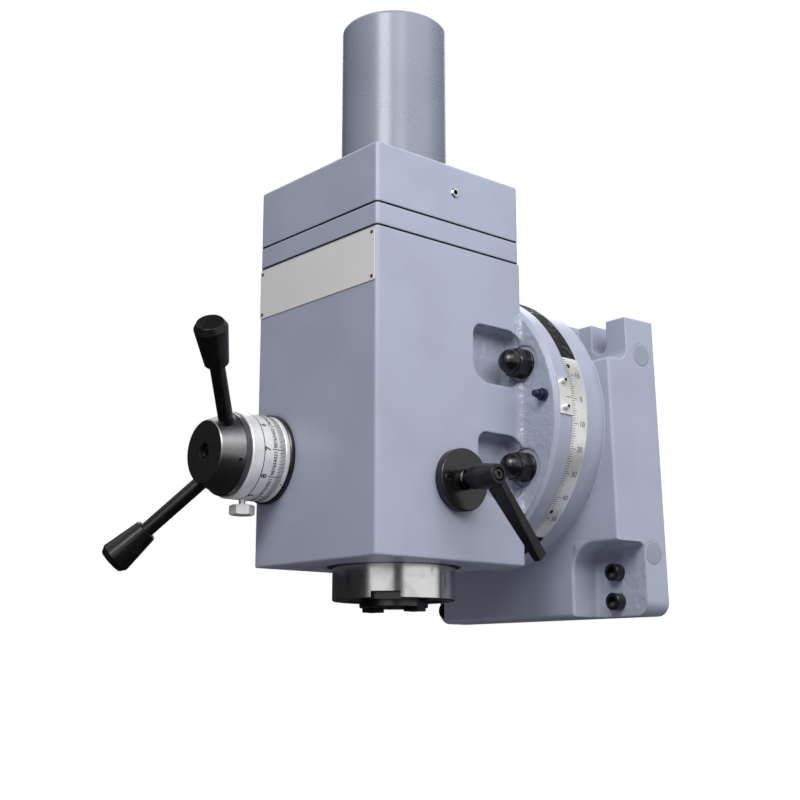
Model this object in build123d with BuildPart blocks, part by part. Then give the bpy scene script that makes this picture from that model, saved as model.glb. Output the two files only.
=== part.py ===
from build123d import *
import os
from math import acos, cos, pi, radians, sin, sqrt, tan

# Swivelling vertical milling head on the bracket that bolts it to a milling machine's ram.
# Millimetres. The origin is the centre of the bracket's rear face, on the swivel axis.
# +Z is up, the head's front faces -Y, and the head swivels about the Y axis.

os.makedirs("parts", exist_ok=True)

# Fits between pieces
running_fit = 0.05
clear_gap = 0.3
joint_gap = 0.1

# Head casting
spindle_y = -231.0
head_half_width = 97.5
head_front = spindle_y - 105.0
head_back = -141.0
head_bottom = -154.0
body_top = 164.0
plate_top = 187.5
cover_top = 250.0
corner_radius = 4.0
seam_radius = 2.0
quill_bore_top = 60.0
bearing_lip_height = 6.0
bearing_lip_radius = 40.0
cavity_radius = 36.0

# Swivel flange, its pilot and its clamp bolts
swivel_face = -121.0
swivel_radius = 148.7
flange_depth = 22.0
flange_front = swivel_face - flange_depth
rim_chamfer = 3.7
index_plate_radius = swivel_radius + 1.2
index_low_angle = -1.5
index_high_angle = 13.3
index_screw_radius = 3.4
index_screw_height = 4.0
index_screw_socket = 3.0
index_screw_socket_depth = 2.0
index_screw_edge = 0.4
nipple_x = 131.0
nipple_z = 17.0
nipple_collar_radius = 6.5
nipple_collar_depth = 4.0
nipple_body_radius = 4.6
nipple_neck_radius = 3.0
nipple_neck_depth = 1.6
nipple_tip_radius = 3.8
nipple_tip_depth = 4.0
nipple_length = 15.0
pilot_radius = 60.0
pilot_length = 21.0
clamp_circle = 116.0
clamp_angle = 27.8
clamp_bolt_radius = 9.0
clamp_hole_radius = 9.5
spot_radius = 20.0
spot_depth = 1.5
washer_radius = 15.2
washer_depth = 3.0
nut_across_flats = 27.0
nut_hex_depth = 15.0
nut_height = 29.5
nut_dome_radius = 12.8
bolt_past_hexagon = 4.0

# Nut pockets in the sides of the head, each with its front, bottom and top
pocket_floor_x = 79.0
upper_pocket = (spindle_y + 22.0, 28.0, 89.0)
lower_pocket = (spindle_y + 27.0, -89.0, -22.0)
pocket_top_radius = 12.0
pocket_low_radius = 22.0
pocket_flange_radius = 16.0
pocket_root_radius = 11.0
head_root_radius = 9.0

# Bracket casting: its right side leans outwards to the bottom and narrows to the front
bracket_left = 150.0
bracket_right = 158.5
side_draft = 0.027
side_taper = 0.052
bracket_depth = 71.0
bracket_bottom = -201.6
shoulder_bottom = -127.0
block_top = 64.0
wall_top = 112.0
wall_depth = 42.0
step_radius = 14.0
hollow_radius = 6.0
bridge_half = 91.0
bridge_top = 114.0
bridge_rounding = 4.0
lower_half = 99.6
rear_flange_depth = 32.5
pocket_corner_radius = 28.0
flange_corner_radius = 14.0
arris_radius = 3.0
stud_slot_x = 120.4
stud_slot_width = 20.5
stud_slot_bottom = 77.0
bush_radius = 65.0
bush_depth = 30.0
drive_bore_radius = 32.0
ram_pilot_radius = 50.0
ram_pilot_depth = 10.0
scale_depth = 1.2
scale_width = 23.0
scale_low_angle = -54.5
scale_high_angle = 23.5
tee_neck_half = 10.5
tee_neck_depth = 14.0
tee_half = 18.0
tee_depth = 15.0
tee_entry_radius = 21.6
tee_head_width = 30.0
tee_head_depth = 12.0
bracket_screw_x = 128.0
bracket_screw_rows = (-156.5, -186.5)
bracket_screw_radius = 6.0
bracket_hole_radius = 7.25
bracket_screw_reach = 24.0
plug_radius = 12.0
plug_depth = 3.0
plug_proud = 0.3
plug_places = ((-19.6, 73.5), (-19.0, -137.5))

# Top cover and drawbar cover
cover_wall = 6.0
cover_roof = 8.0
cylinder_radius = 57.1
cylinder_top = 436.3
cylinder_wall = 4.0
cylinder_edge_radius = 4.0
cylinder_spigot_radius = 50.0
upstand_top = 234.0
upstand_wall = 8.0
cover_screw_y = spindle_y - 2.5
cover_screw_z = 220.7
cover_screw_hole = 2.5
cover_screw_length = 13.0

# Name plate
plate_width = 190.0
plate_height = 52.5
plate_low = 108.5
plate_depth = 1.0
plate_rivet_inset = 4.0

# Quill, spindle and drawbar
quill_radius = 62.5
quill_bottom = -188.0
quill_top = 22.0
wiper_radius = quill_radius + 6.0
wiper_depth = 4.0
quill_slot_half = 38.0
quill_slot_bottom = -42.0
notch_direction = -48.0
notch_width = 29.0
notch_height = 7.0
nose_radius = 34.916
nose_face = -194.6
journal_radius = 25.0
taper_mouth_radius = 15.875
taper_slope = 7 / 48
taper_depth = 50.0
draw_bore_radius = 8.5
nose_bolt_circle = 54.0
nose_bolt_radius = 4.25
key_width = 15.9
key_proud = 4.0
key_sunk = 5.0
spline_count = 6
spline_core_radius = 14.8
spline_tip_radius = 17.5
spline_width = 6.0
spindle_top = 330.0
drawbar_radius = 6.0
drawbar_bottom = -140.0
drawbar_collar_radius = 16.0
cap_seat_radius = 48.0
cap_high = -180.0
lower_bearing_radius = 45.0
lower_bearing_low = -179.0
lower_bearing_high = -145.0
upper_bearing_radius = 40.0
upper_bearing_low = -80.0
upper_bearing_high = -62.0
quill_waist_bore = 36.0
quill_top_bore = 50.0
nose_neck_radius = 33.0
nose_bolt_depth = 12.0
thread_radius = 22.0
thread_high = -48.0
key_angle = 15.0
key_inner = 17.5
key_outer = 33.5
key_screw_radius = 3.0
key_screw_head_radius = 5.0
key_screw_head = 6.0
key_screw_length = 6.0

# Drive sleeve and bevel gears
sleeve_bottom = 20.0
sleeve_top = 172.0
gear_seat_radius = 25.0
sleeve_radius = 30.0
sleeve_collar = (54.0, 62.0)
sleeve_collar_radius = 36.0
sleeve_bearing_radius = 45.0
sleeve_bearing_depth = 18.0
lower_sleeve_bearing = 66.0
upper_sleeve_bearing = 130.0
bevel_module = 3.0
bevel_gear_teeth = 30
bevel_pinion_teeth = 20
bevel_face = 15.0
pressure_angle = radians(20)
flank_steps = 5
tooth_sink = 0.6
blank_margin = 0.6

# Input shaft from the ram
input_radius = 17.5
input_end_radius = 15.0
input_bearing_depth = 17.0
front_input_bearing = -163.0
rear_input_bearing = -122.0
input_front = spindle_y + 30.0
pinion_back = -169.0
coupling_radius = 26.0
coupling_front = -52.0
coupling_back = -14.0
dog_depth = 10.0
dog_width = 14.0
ring_screw_circle = 48.0
ring_screw_radius = 2.5
ring_screw_sunk = 10.0
ring_screw_head = 3.5
ring_screw_head_radius = 4.4

# Quill feed: rack, pinion, dial and handle
feed_x = -74.5
feed_z = -45.0
feed_radius = 12.0
feed_bore_radius = 18.0
feed_tail_radius = 8.0
rear_feed_bush_radius = 12.5
feed_module = 2.5
feed_teeth = 12
feed_face = 20.0
feed_bush_length = 36.0
rack_addendum = 1.75
rack_dedendum = 3.0
tooth_slack = 0.3
dial_flange_depth = 5.0
dial_flange_radius = 46.0
index_depth = 4.5
dial_radius = 44.0
dial_bore_radius = 30.0
dial_depth = 39.5
dial_smooth_depth = 13.5
collar_depth = 6.0
collar_radius = 42.0
collar_step = 1.0
hub_nose_radius = 32.0
hub_cone_depth = 23.0
hub_recess_radius = 9.0
hub_recess_depth = 10.0
hub_screw_radius = 4.0
hub_screw_sunk = 18.0
hub_screw_head = 7.0
hub_screw_head_radius = 6.5
hub_screw_socket = 6.0
set_screw_radius = 1.8
set_screw_length = 26.0
set_screw_turn = -16.0
arm_radius = 7.5
arm_lean = 31.7
arm_turns = (51.3, 231.3)
arm_root = 24.0
arm_tip = 133.0
arm_cross_y = head_front - 45.4
knob_start = 112.0
knob_end = 159.0
knob_root_radius = 12.0
knob_radius = 16.6
knob_end_radius = 13.1
knob_bevel_depth = 6.0
knob_rounding = 1.6
knob_end_rounding = 0.8
dial_screw_radius = 3.4
dial_screw_place = 17.5
thumb_across_flats = 22.4
thumb_start = 49.5
thumb_depth = 10.0

# Quill lock on the right side
lock_z = -75.5
lock_flange_radius = 31.0
lock_flange_depth = 9.5
lock_screw_offset = 21.0
lock_screw_radius = 3.0
lock_screw_sunk = 14.0
lock_screw_head = 5.0
lock_screw_head_radius = 4.9
lock_screw_socket = 5.0
lock_screw_recess_radius = 5.7
lock_bush_radius = 10.5
lock_bush_proud = 5.0
stud_radius = 7.0
lever_neck_radius = 11.0
lever_hub_radius = 13.0
lever_face_radius = 10.0
lever_start = 118.0
lever_step = 131.0
lever_end = 153.0
lever_length = 95.3
lever_fall = 51.6
lever_root_size = (7.8, 21.0)
lever_tip_size = (12.4, 8.5)
lever_edge_radius = 1.2
lever_chamfer = 0.8
lever_recess = 4.0
lever_recess_radius = 6.8
lever_screw_radius = 3.0
lever_screw_sunk = 12.0
lever_screw_head = 3.6
lever_screw_head_radius = 5.4
lever_screw_socket = 5.0
stud_end = 140.0
tip_outer = 75.5

# Heights and places that follow from the dimensions above
cone_distance = bevel_module / 2 * sqrt(bevel_gear_teeth ** 2 + bevel_pinion_teeth ** 2)
apex_gear = Plane(origin=(0, spindle_y, 0), x_dir=(1, 0, 0), z_dir=(0, 0, 1))
apex_pinion = Plane(origin=(0, spindle_y, 0), x_dir=(1, 0, 0), z_dir=(0, 1, 0))
spindle_axis = Axis((0, spindle_y, 0), (0, 0, 1))
clamp_places = [
    (side * clamp_circle * cos(radians(clamp_angle)), rise * clamp_circle * sin(radians(clamp_angle)))
    for side in (-1, 1)
    for rise in (-1, 1)
]
index_front = head_front - dial_flange_depth
dial_back = index_front - index_depth
dial_front = dial_back - dial_depth
collar_front = dial_front - collar_depth
hub_front = collar_front - hub_cone_depth
shaft_front = hub_front + 16.0
set_screw_y = collar_front - 4.5
feed_bore_back = spindle_y + feed_face / 2 + 2.0
rear_feed_bush_back = lower_pocket[0] - 4.0
lock_centre = [(spindle_y, lock_z)]
lock_axis_plane = Plane(origin=(0, spindle_y, lock_z), x_dir=(0, 1, 0), z_dir=(1, 0, 0))


def block(low, high, mode=Mode.ADD):
    """Square-edged block between two opposite corners."""
    with Locations(tuple((a + b) / 2 for a, b in zip(low, high))):
        Box(*[b - a for a, b in zip(low, high)], mode=mode)


def bar_x(centres, radius, left, right, mode=Mode.ADD):
    """Round bars along X at the given (y, z) centres."""
    with BuildSketch(Plane.YZ.offset(left)) as section:
        with Locations(*centres):
            Circle(radius)
    extrude(section.sketch, amount=right - left, mode=mode)


def bar_y(centres, radius, front, back, mode=Mode.ADD):
    """Round bars along Y at the given (x, z) centres."""
    with BuildSketch(Plane.XZ.offset(-back)) as section:
        with Locations(*centres):
            Circle(radius)
    extrude(section.sketch, amount=back - front, mode=mode)


def bar_z(centres, radius, low, high, mode=Mode.ADD):
    """Round bars along Z at the given (x, y) centres."""
    with BuildSketch(Plane.XY.offset(low)) as section:
        with Locations(*centres):
            Circle(radius)
    extrude(section.sketch, amount=high - low, mode=mode)


def bar_along(plane, radius, length, mode=Mode.ADD):
    """Round bar that starts on a plane and follows its normal."""
    with BuildSketch(plane) as section:
        Circle(radius)
    extrude(section.sketch, amount=length, mode=mode)


def turned_z(outline, mode=Mode.ADD):
    """Shape turned about the spindle axis from its (radius, height) corners."""
    with BuildSketch(Plane.XZ.offset(-spindle_y)) as half:
        Polygon(*outline, align=None)
    revolve(half.sketch, axis=spindle_axis, mode=mode)


def turned_y(outline, x=0.0, z=0.0, mode=Mode.ADD):
    """Shape turned about an axis along Y from its (radius, y) corners."""
    with BuildSketch(Plane.XY.offset(z)) as half:
        with Locations((x, 0)):
            Polygon(*outline, align=None)
    revolve(half.sketch, axis=Axis((x, 0, z), (0, 1, 0)), mode=mode)


def turned_along(plane, outline, mode=Mode.ADD):
    """Shape turned about a plane's normal from its (radius, height) corners."""
    with BuildSketch(Plane(origin=plane.origin, x_dir=plane.x_dir, z_dir=-plane.y_dir)) as half:
        Polygon(*outline, align=None)
    revolve(half.sketch, axis=Axis(plane.origin, plane.z_dir), mode=mode)


def ring_z(outer, inner, low, high):
    """Plain ring about the spindle axis."""
    turned_z(((inner, low), (outer, low), (outer, high), (inner, high)))


def rim_plane(angle, radius, y):
    """Plane that faces outwards on a drum about the Y axis, at an angle from +X towards +Z."""
    outward = (cos(radians(angle)), 0, sin(radians(angle)))
    return Plane(origin=(radius * outward[0], y, radius * outward[2]), x_dir=(0, 1, 0), z_dir=outward)


def rim_strip(inner, outer, low_angle, high_angle, front, back):
    """Curved strip on a drum about the Y axis, between two angles."""
    sweep_angle = high_angle - low_angle
    with BuildSketch(Plane.XZ.offset(-back)) as section:
        with BuildLine():
            outside = CenterArc((0, 0), outer, low_angle, sweep_angle)
            inside = CenterArc((0, 0), inner, low_angle, sweep_angle)
            Line(outside @ 0, inside @ 0)
            Line(outside @ 1, inside @ 1)
        make_face()
    extrude(section.sketch, amount=back - front)


def hexagon_y(centres, across_flats, front, back):
    """Hexagonal bars along Y."""
    with BuildSketch(Plane.XZ.offset(-back)) as section:
        with Locations(*centres):
            RegularPolygon(across_flats / 2, 6, major_radius=False)
    extrude(section.sketch, amount=back - front)


def socket_y(centres, across_flats, front, depth):
    """Hexagon sockets sunk from the front into screw heads along Y."""
    with BuildSketch(Plane.XZ.offset(-front)) as section:
        with Locations(*centres):
            RegularPolygon(across_flats / 2, 6, major_radius=False)
    extrude(section.sketch, amount=-depth, mode=Mode.SUBTRACT)


def edges_where(piece, x=None, y=None, z=None):
    """Edges of a piece whose middle lies at the given places; x counts on either side."""
    found = ShapeList()
    for edge in piece.edges():
        middle = edge @ 0.5
        places = ((x, abs(middle.X)), (y, middle.Y), (z, middle.Z))
        if all(want is None or abs(want - have) < 0.01 for want, have in places):
            found.append(edge)
    return found


def hexagon_bevel(across_flats, face, inward):
    """(radius, height) corners of the ring that bevels a hexagon's corners at one end."""
    reach = across_flats / sqrt(3) + 1.0
    slope = (reach - across_flats / 2) * tan(radians(30))
    return (across_flats / 2, face), (reach, face), (reach, face + inward * slope)


def right_side(y, z):
    """Plane on the bracket's leaning right side that faces outwards, at a place on that side."""
    reach = bracket_right + side_taper * y + side_draft * (wall_top - z)
    return Plane(origin=(reach, y, z), x_dir=(0, side_draft, side_taper), z_dir=(1, -side_taper, side_draft))


def bracket_block(front, low, high):
    """Block across the bracket, forward from its rear face, trimmed to the leaning right side."""
    with BuildPart() as piece:
        block((-bracket_left, front, low), (2 * bracket_right, 0, high))
        split(bisect_by=right_side(0, 0), keep=Keep.BOTTOM)
    return piece.part


def tooth_outline(pitch_radius, module, addendum, dedendum):
    """Corners of one involute tooth, (outward, across), measured from the gear's centre."""
    base_radius = pitch_radius * cos(pressure_angle)
    half_angle = (pi * module / 2 - tooth_slack) / 2 / pitch_radius
    root = pitch_radius - dedendum
    height = addendum + dedendum
    side = [((root - tooth_sink), (root - tooth_sink) * (half_angle + tan(pressure_angle) - pressure_angle))]
    for step in range(flank_steps + 1):
        radius = root + height * step / flank_steps
        roll = acos(min(1.0, base_radius / radius))
        lean = half_angle + tan(pressure_angle) - pressure_angle - tan(roll) + roll
        side.append((radius * cos(lean), radius * sin(lean)))
    return side + [(outward, -across) for outward, across in reversed(side)]


def bevel_tooth(pitch_radius, mate_radius):
    """One straight bevel tooth, with the pitch cone's tip at the origin and the axis along Z."""
    to_rim = Vector(pitch_radius, 0, mate_radius)
    generator = to_rim.normalized()
    virtual_radius = pitch_radius / generator.Z
    outline = tooth_outline(virtual_radius, bevel_module, 0.9 * bevel_module, 1.2 * bevel_module)
    shrink = (cone_distance - bevel_face) / cone_distance
    outer = Plane(origin=to_rim, x_dir=(0, -1, 0), z_dir=generator)
    inner = Plane(origin=to_rim * shrink, x_dir=(0, -1, 0), z_dir=generator)
    with BuildPart() as tooth:
        with BuildSketch(outer):
            Polygon(*[(across, outward - virtual_radius) for outward, across in outline], align=None)
        with BuildSketch(inner):
            Polygon(
                *[(shrink * across, shrink * (outward - virtual_radius)) for outward, across in outline],
                align=None,
            )
        loft(ruled=True)
    return tooth.part


def bevel_blank(pitch_radius, mate_radius, bore, back):
    """(radius, height) corners of a bevel gear's body under its teeth."""
    inner = (cone_distance - bevel_face - blank_margin) / cone_distance
    outer = (cone_distance + blank_margin) / cone_distance
    sunk = 1.2 * bevel_module / cone_distance
    foot_radius = pitch_radius - sunk * mate_radius
    foot_height = mate_radius + sunk * pitch_radius
    return (
        (bore, inner * foot_height),
        (inner * foot_radius, inner * foot_height),
        (outer * foot_radius, outer * foot_height),
        (outer * foot_radius, back),
        (bore, back),
    )


def arm_plane(turn, distance):
    """Plane across a handle arm, at a distance along it from where the arms' lines meet."""
    flat = cos(radians(arm_lean))
    along = Vector(flat * cos(radians(turn)), -sin(radians(arm_lean)), flat * sin(radians(turn)))
    start = Vector(feed_x, arm_cross_y, feed_z) + along * distance
    return Plane(origin=start, x_dir=(-sin(radians(turn)), 0, cos(radians(turn))), z_dir=along)


def save(piece, label):
    """Names a finished piece and writes its STEP file."""
    piece.part.label = label
    export_step(piece.part, f"parts/{label}.step")


# Bracket casting: block, foot, rear flange, top wall with two stud slots, and a bridge to the drum
bracket_middle = bracket_block(-bracket_depth, shoulder_bottom, block_top)
bracket_foot = bracket_block(-rear_flange_depth, bracket_bottom, shoulder_bottom)
bracket_wall = bracket_block(-wall_depth, block_top, wall_top)
with BuildPart() as ram_bracket:
    add(bracket_middle)
    corner_x = lower_half + pocket_corner_radius
    corner_z = shoulder_bottom - pocket_corner_radius
    with BuildSketch(Plane.XZ):
        with BuildLine():
            right_corner = CenterArc((corner_x, corner_z), pocket_corner_radius, 90, 90)
            left_corner = CenterArc((-corner_x, corner_z), pocket_corner_radius, 0, 90)
            Polyline(
                right_corner @ 1,
                (lower_half, bracket_bottom),
                (-lower_half, bracket_bottom),
                left_corner @ 0,
            )
            Line(left_corner @ 1, right_corner @ 0)
        make_face()
    extrude(amount=bracket_depth)
    fillet(edges_where(ram_bracket, y=-bracket_depth), arris_radius)
    add(bracket_foot)
    foot_corners = edges_where(ram_bracket, y=-rear_flange_depth / 2, z=bracket_bottom)
    fillet(foot_corners, flange_corner_radius)
    hollow_edges = edges_where(ram_bracket, y=-rear_flange_depth).filter_by(
        lambda edge: abs((edge @ 0.5).X) < bracket_left - 1 and (edge @ 0.5).Z > bracket_bottom + 1
    )
    fillet(hollow_edges, hollow_radius)
    add(bracket_wall)
    fillet(edges_where(ram_bracket, y=-wall_depth, z=block_top), step_radius)
    block((-bridge_half, -bracket_depth, block_top), (bridge_half, 0, bridge_top))
    fillet(edges_where(ram_bracket, x=bridge_half, z=bridge_top), bridge_rounding)
    scale_back = swivel_face + scale_width
    bar_y([(0, 0)], swivel_radius, swivel_face, -bracket_depth)
    with BuildSketch(Plane.XZ):
        with Locations((-stud_slot_x, stud_slot_bottom), (stud_slot_x, stud_slot_bottom)):
            with Locations((0, stud_slot_width / 2)):
                Circle(stud_slot_width / 2)
            with Locations((0, wall_top - stud_slot_bottom)):
                Rectangle(stud_slot_width, 2 * (wall_top - stud_slot_bottom) - stud_slot_width)
    extrude(amount=wall_depth, mode=Mode.SUBTRACT)
    scale_floor = swivel_radius - scale_depth
    turned_y(
        (
            (scale_floor, swivel_face),
            (swivel_radius, swivel_face),
            (swivel_radius, scale_back),
            (scale_floor, scale_back),
        ),
        mode=Mode.SUBTRACT,
    )
    neck_floor = swivel_face + tee_neck_depth
    tee_floor = neck_floor + tee_depth
    turned_y(
        (
            (clamp_circle - tee_neck_half, swivel_face),
            (clamp_circle + tee_neck_half, swivel_face),
            (clamp_circle + tee_neck_half, neck_floor),
            (clamp_circle + tee_half, neck_floor),
            (clamp_circle + tee_half, tee_floor),
            (clamp_circle - tee_half, tee_floor),
            (clamp_circle - tee_half, neck_floor),
            (clamp_circle - tee_neck_half, neck_floor),
        ),
        mode=Mode.SUBTRACT,
    )
    bar_y([(0, clamp_circle)], tee_entry_radius, swivel_face, tee_floor, Mode.SUBTRACT)
    bar_y([(0, 0)], bush_radius, swivel_face, swivel_face + bush_depth, Mode.SUBTRACT)
    bar_y([(0, 0)], drive_bore_radius, swivel_face, 0, Mode.SUBTRACT)
    bar_y([(0, 0)], ram_pilot_radius, -ram_pilot_depth, 0, Mode.SUBTRACT)
    screw_places = [(side * bracket_screw_x, row) for side in (-1, 1) for row in bracket_screw_rows]
    bar_y(screw_places, bracket_hole_radius, -rear_flange_depth, 0, Mode.SUBTRACT)
    plug_seats = [right_side(y, z).offset(-plug_depth) for y, z in plug_places]
    for seat in plug_seats:
        bar_along(seat, plug_radius, plug_depth, Mode.SUBTRACT)
    bar_x(plug_places, plug_radius, -bracket_left, plug_depth - bracket_left, Mode.SUBTRACT)
save(ram_bracket, "ram_bracket")

# Bronze bush in the bracket that the head's pilot turns in
with BuildPart() as pivot_bush:
    bush_bore = pilot_radius + running_fit
    bush_back = swivel_face + bush_depth
    turned_y(
        (
            (bush_bore, swivel_face),
            (bush_radius, swivel_face),
            (bush_radius, bush_back),
            (bush_bore, bush_back),
        )
    )
save(pivot_bush, "pivot_bush")

# Engraved steel strip in the drum's groove
with BuildPart() as angle_scale_band:
    rim_strip(
        scale_floor, swivel_radius, scale_low_angle, scale_high_angle,
        swivel_face + clear_gap, scale_back - clear_gap,
    )
save(angle_scale_band, "angle_scale_band")

# Round-headed pins that hold the strip
with BuildPart() as scale_rivets:
    for rivet_angle in (scale_low_angle + 13.4, scale_high_angle - 4.0):
        rivet_plane = rim_plane(rivet_angle, swivel_radius, swivel_face + 5.8)
        turned_along(rivet_plane, ((0, 0), (2.2, 0), (2.0, 0.5), (1.2, 0.9), (0, 1.0)))
save(scale_rivets, "scale_rivets")

# Socket screws through the foot of the bracket into the ram
with BuildPart() as bracket_screws:
    head_radius = 1.5 * bracket_screw_radius
    head_height = 2 * bracket_screw_radius
    screw_face = -rear_flange_depth
    bar_y(screw_places, head_radius, screw_face - head_height, screw_face)
    chamfer(edges_where(bracket_screws, y=screw_face - head_height), 0.8)
    bar_y(screw_places, bracket_screw_radius, screw_face, bracket_screw_reach)
    socket_y(screw_places, 10.0, screw_face - head_height, 6.0)
save(bracket_screws, "bracket_screws")

# Discs that close the casting's core holes
with BuildPart() as cast_plugs:
    for seat in plug_seats:
        bar_along(seat, plug_radius, plug_depth + plug_proud)
    bar_x(plug_places, plug_radius, -bracket_left - plug_proud, plug_depth - bracket_left)
save(cast_plugs, "cast_plugs")

# Head casting: box, swivel flange with pilot, nut pockets, quill bore and gear space
with BuildPart() as head_body:
    block((-head_half_width, head_front, head_bottom), (head_half_width, head_back, body_top))
    fillet(edges_where(head_body, x=head_half_width, y=head_front), corner_radius)
    fillet(edges_where(head_body, z=body_top), seam_radius)
    fillet(edges_where(head_body, z=head_bottom), corner_radius / 2)
    flange_back = swivel_face - joint_gap
    turned_y(
        (
            (0, flange_front),
            (swivel_radius - rim_chamfer, flange_front),
            (swivel_radius, flange_front + rim_chamfer),
            (swivel_radius, flange_back),
            (pilot_radius, flange_back),
            (pilot_radius, swivel_face + pilot_length),
            (0, swivel_face + pilot_length),
        )
    )
    root_edges = edges_where(head_body, x=head_half_width, y=flange_front)
    fillet(root_edges.filter_by(Axis.Z), head_root_radius)
    for pocket_front, pocket_low, pocket_top in (upper_pocket, lower_pocket):
        for side in (-1, 1):
            with BuildSketch(Plane.YZ.offset(side * pocket_floor_x)):
                root_high = (flange_front, pocket_top - 1.5 * pocket_flange_radius)
                root_low = (flange_front, pocket_low + 1.5 * pocket_flange_radius)
                with BuildLine():
                    FilletPolyline(
                        root_high,
                        (flange_front, pocket_top),
                        (pocket_front, pocket_top),
                        (pocket_front, pocket_low),
                        (flange_front, pocket_low),
                        root_low,
                        radius=[
                            pocket_flange_radius, pocket_top_radius, pocket_low_radius, pocket_flange_radius
                        ],
                    )
                    Line(root_low, root_high)
                make_face()
            extrude(amount=side * (swivel_radius - pocket_floor_x), mode=Mode.SUBTRACT)
    fillet(edges_where(head_body, x=pocket_floor_x), pocket_root_radius)
    bar_y(clamp_places, clamp_hole_radius, flange_front, swivel_face, Mode.SUBTRACT)
    bar_y(clamp_places, spot_radius, flange_front - 8.0, flange_front + spot_depth, Mode.SUBTRACT)
    quill_bore = quill_radius + running_fit
    bar_z([(0, spindle_y)], quill_bore, head_bottom, quill_bore_top, Mode.SUBTRACT)
    bar_z([(0, spindle_y)], bearing_lip_radius, quill_bore_top, body_top, Mode.SUBTRACT)
    bearing_floor = quill_bore_top + bearing_lip_height
    bar_z([(0, spindle_y)], sleeve_bearing_radius, bearing_floor, body_top, Mode.SUBTRACT)
    bar_y([(0, 0)], cavity_radius, spindle_y, swivel_face + pilot_length, Mode.SUBTRACT)
    bar_y([(feed_x, feed_z)], feed_bore_radius, head_front, feed_bore_back, Mode.SUBTRACT)
    bar_y([(feed_x, feed_z)], rear_feed_bush_radius, feed_bore_back, rear_feed_bush_back, Mode.SUBTRACT)
    bar_x(lock_centre, stud_radius + running_fit, 0, head_half_width, Mode.SUBTRACT)
    bar_z([(0, spindle_y)], wiper_radius, head_bottom, head_bottom + wiper_depth, Mode.SUBTRACT)
    lock_screws = [(spindle_y + side * lock_screw_offset, lock_z) for side in (-1, 1)]
    lock_screw_end = head_half_width - lock_screw_sunk
    bar_x(lock_screws, lock_screw_radius, lock_screw_end, head_half_width, Mode.SUBTRACT)
    cover_ring = [
        (ring_screw_circle * cos(radians(angle)), ring_screw_circle * sin(radians(angle)))
        for angle in (0, 90, 180, 270)
    ]
    pilot_back = swivel_face + pilot_length
    bar_y(cover_ring, ring_screw_radius, pilot_back - ring_screw_sunk, pilot_back, Mode.SUBTRACT)
save(head_body, "head_body")

# Plate between the head casting and the top cover, with an upstand inside the cover
with BuildPart() as spacer_plate:
    block((-head_half_width, head_front, body_top), (head_half_width, head_back, plate_top))
    fillet(spacer_plate.edges().filter_by(Axis.Z), corner_radius)
    fillet(edges_where(spacer_plate, z=body_top) + edges_where(spacer_plate, z=plate_top), seam_radius)
    inside = cover_wall + clear_gap
    upstand_low = (inside - head_half_width, head_front + inside, plate_top - seam_radius)
    upstand_high = (head_half_width - inside, head_back - inside, upstand_top)
    block(upstand_low, upstand_high)
    block(
        (upstand_low[0] + upstand_wall, upstand_low[1] + upstand_wall, plate_top),
        (upstand_high[0] - upstand_wall, upstand_high[1] - upstand_wall, upstand_top),
        Mode.SUBTRACT,
    )
    bar_z([(0, spindle_y)], sleeve_collar_radius, body_top, plate_top, Mode.SUBTRACT)
    cover_screw_centre = [(cover_screw_y, cover_screw_z)]
    bar_x(cover_screw_centre, cover_screw_hole, -head_half_width, head_half_width, Mode.SUBTRACT)
save(spacer_plate, "spacer_plate")

# Box-shaped top cover with a round hole in its roof
with BuildPart() as top_cover:
    block((-head_half_width, head_front, plate_top), (head_half_width, head_back, cover_top))
    fillet(top_cover.edges().filter_by(Axis.Z), corner_radius)
    fillet(edges_where(top_cover, z=cover_top), corner_radius * 0.75)
    fillet(edges_where(top_cover, z=plate_top), seam_radius)
    block(
        (cover_wall - head_half_width, head_front + cover_wall, plate_top),
        (head_half_width - cover_wall, head_back - cover_wall, cover_top - cover_roof),
        Mode.SUBTRACT,
    )
    bar_z([(0, spindle_y)], cylinder_spigot_radius, plate_top, cover_top, Mode.SUBTRACT)
    bar_x(cover_screw_centre, cover_screw_hole, -head_half_width, head_half_width, Mode.SUBTRACT)
save(top_cover, "top_cover")

# Round cap over the top of the spindle and its drawbar
with BuildPart() as drawbar_cover:
    cap_bore = cylinder_radius - cylinder_wall
    spigot_bore = cylinder_spigot_radius - cylinder_wall
    spigot_low = cover_top - cover_roof
    bar_z([(0, spindle_y)], cylinder_radius, cover_top, cylinder_top)
    fillet(edges_where(drawbar_cover, z=cylinder_top), cylinder_edge_radius)
    bar_z([(0, spindle_y)], cylinder_spigot_radius, spigot_low, cover_top)
    bar_z([(0, spindle_y)], spigot_bore, spigot_low, cover_top + cylinder_wall, Mode.SUBTRACT)
    bar_z([(0, spindle_y)], cap_bore, cover_top + cylinder_wall, cylinder_top - cylinder_wall, Mode.SUBTRACT)
save(drawbar_cover, "drawbar_cover")

# Button-headed screws in the sides of the top cover
with BuildPart() as cover_screws:
    for side in (-1, 1):
        screw_plane = Plane(
            origin=(side * head_half_width, cover_screw_y, cover_screw_z), x_dir=(0, 1, 0), z_dir=(side, 0, 0)
        )
        shank = cover_screw_hole - joint_gap
        turned_along(
            screw_plane,
            (
                (0, -cover_screw_length),
                (shank, -cover_screw_length),
                (shank, 0),
                (4.9, 0),
                (4.9, 0.9),
                (3.9, 2.2),
                (2.2, 2.2),
                (2.2, 0.4),
                (0, 0.4),
            ),
        )
save(cover_screws, "cover_screws")

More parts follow.
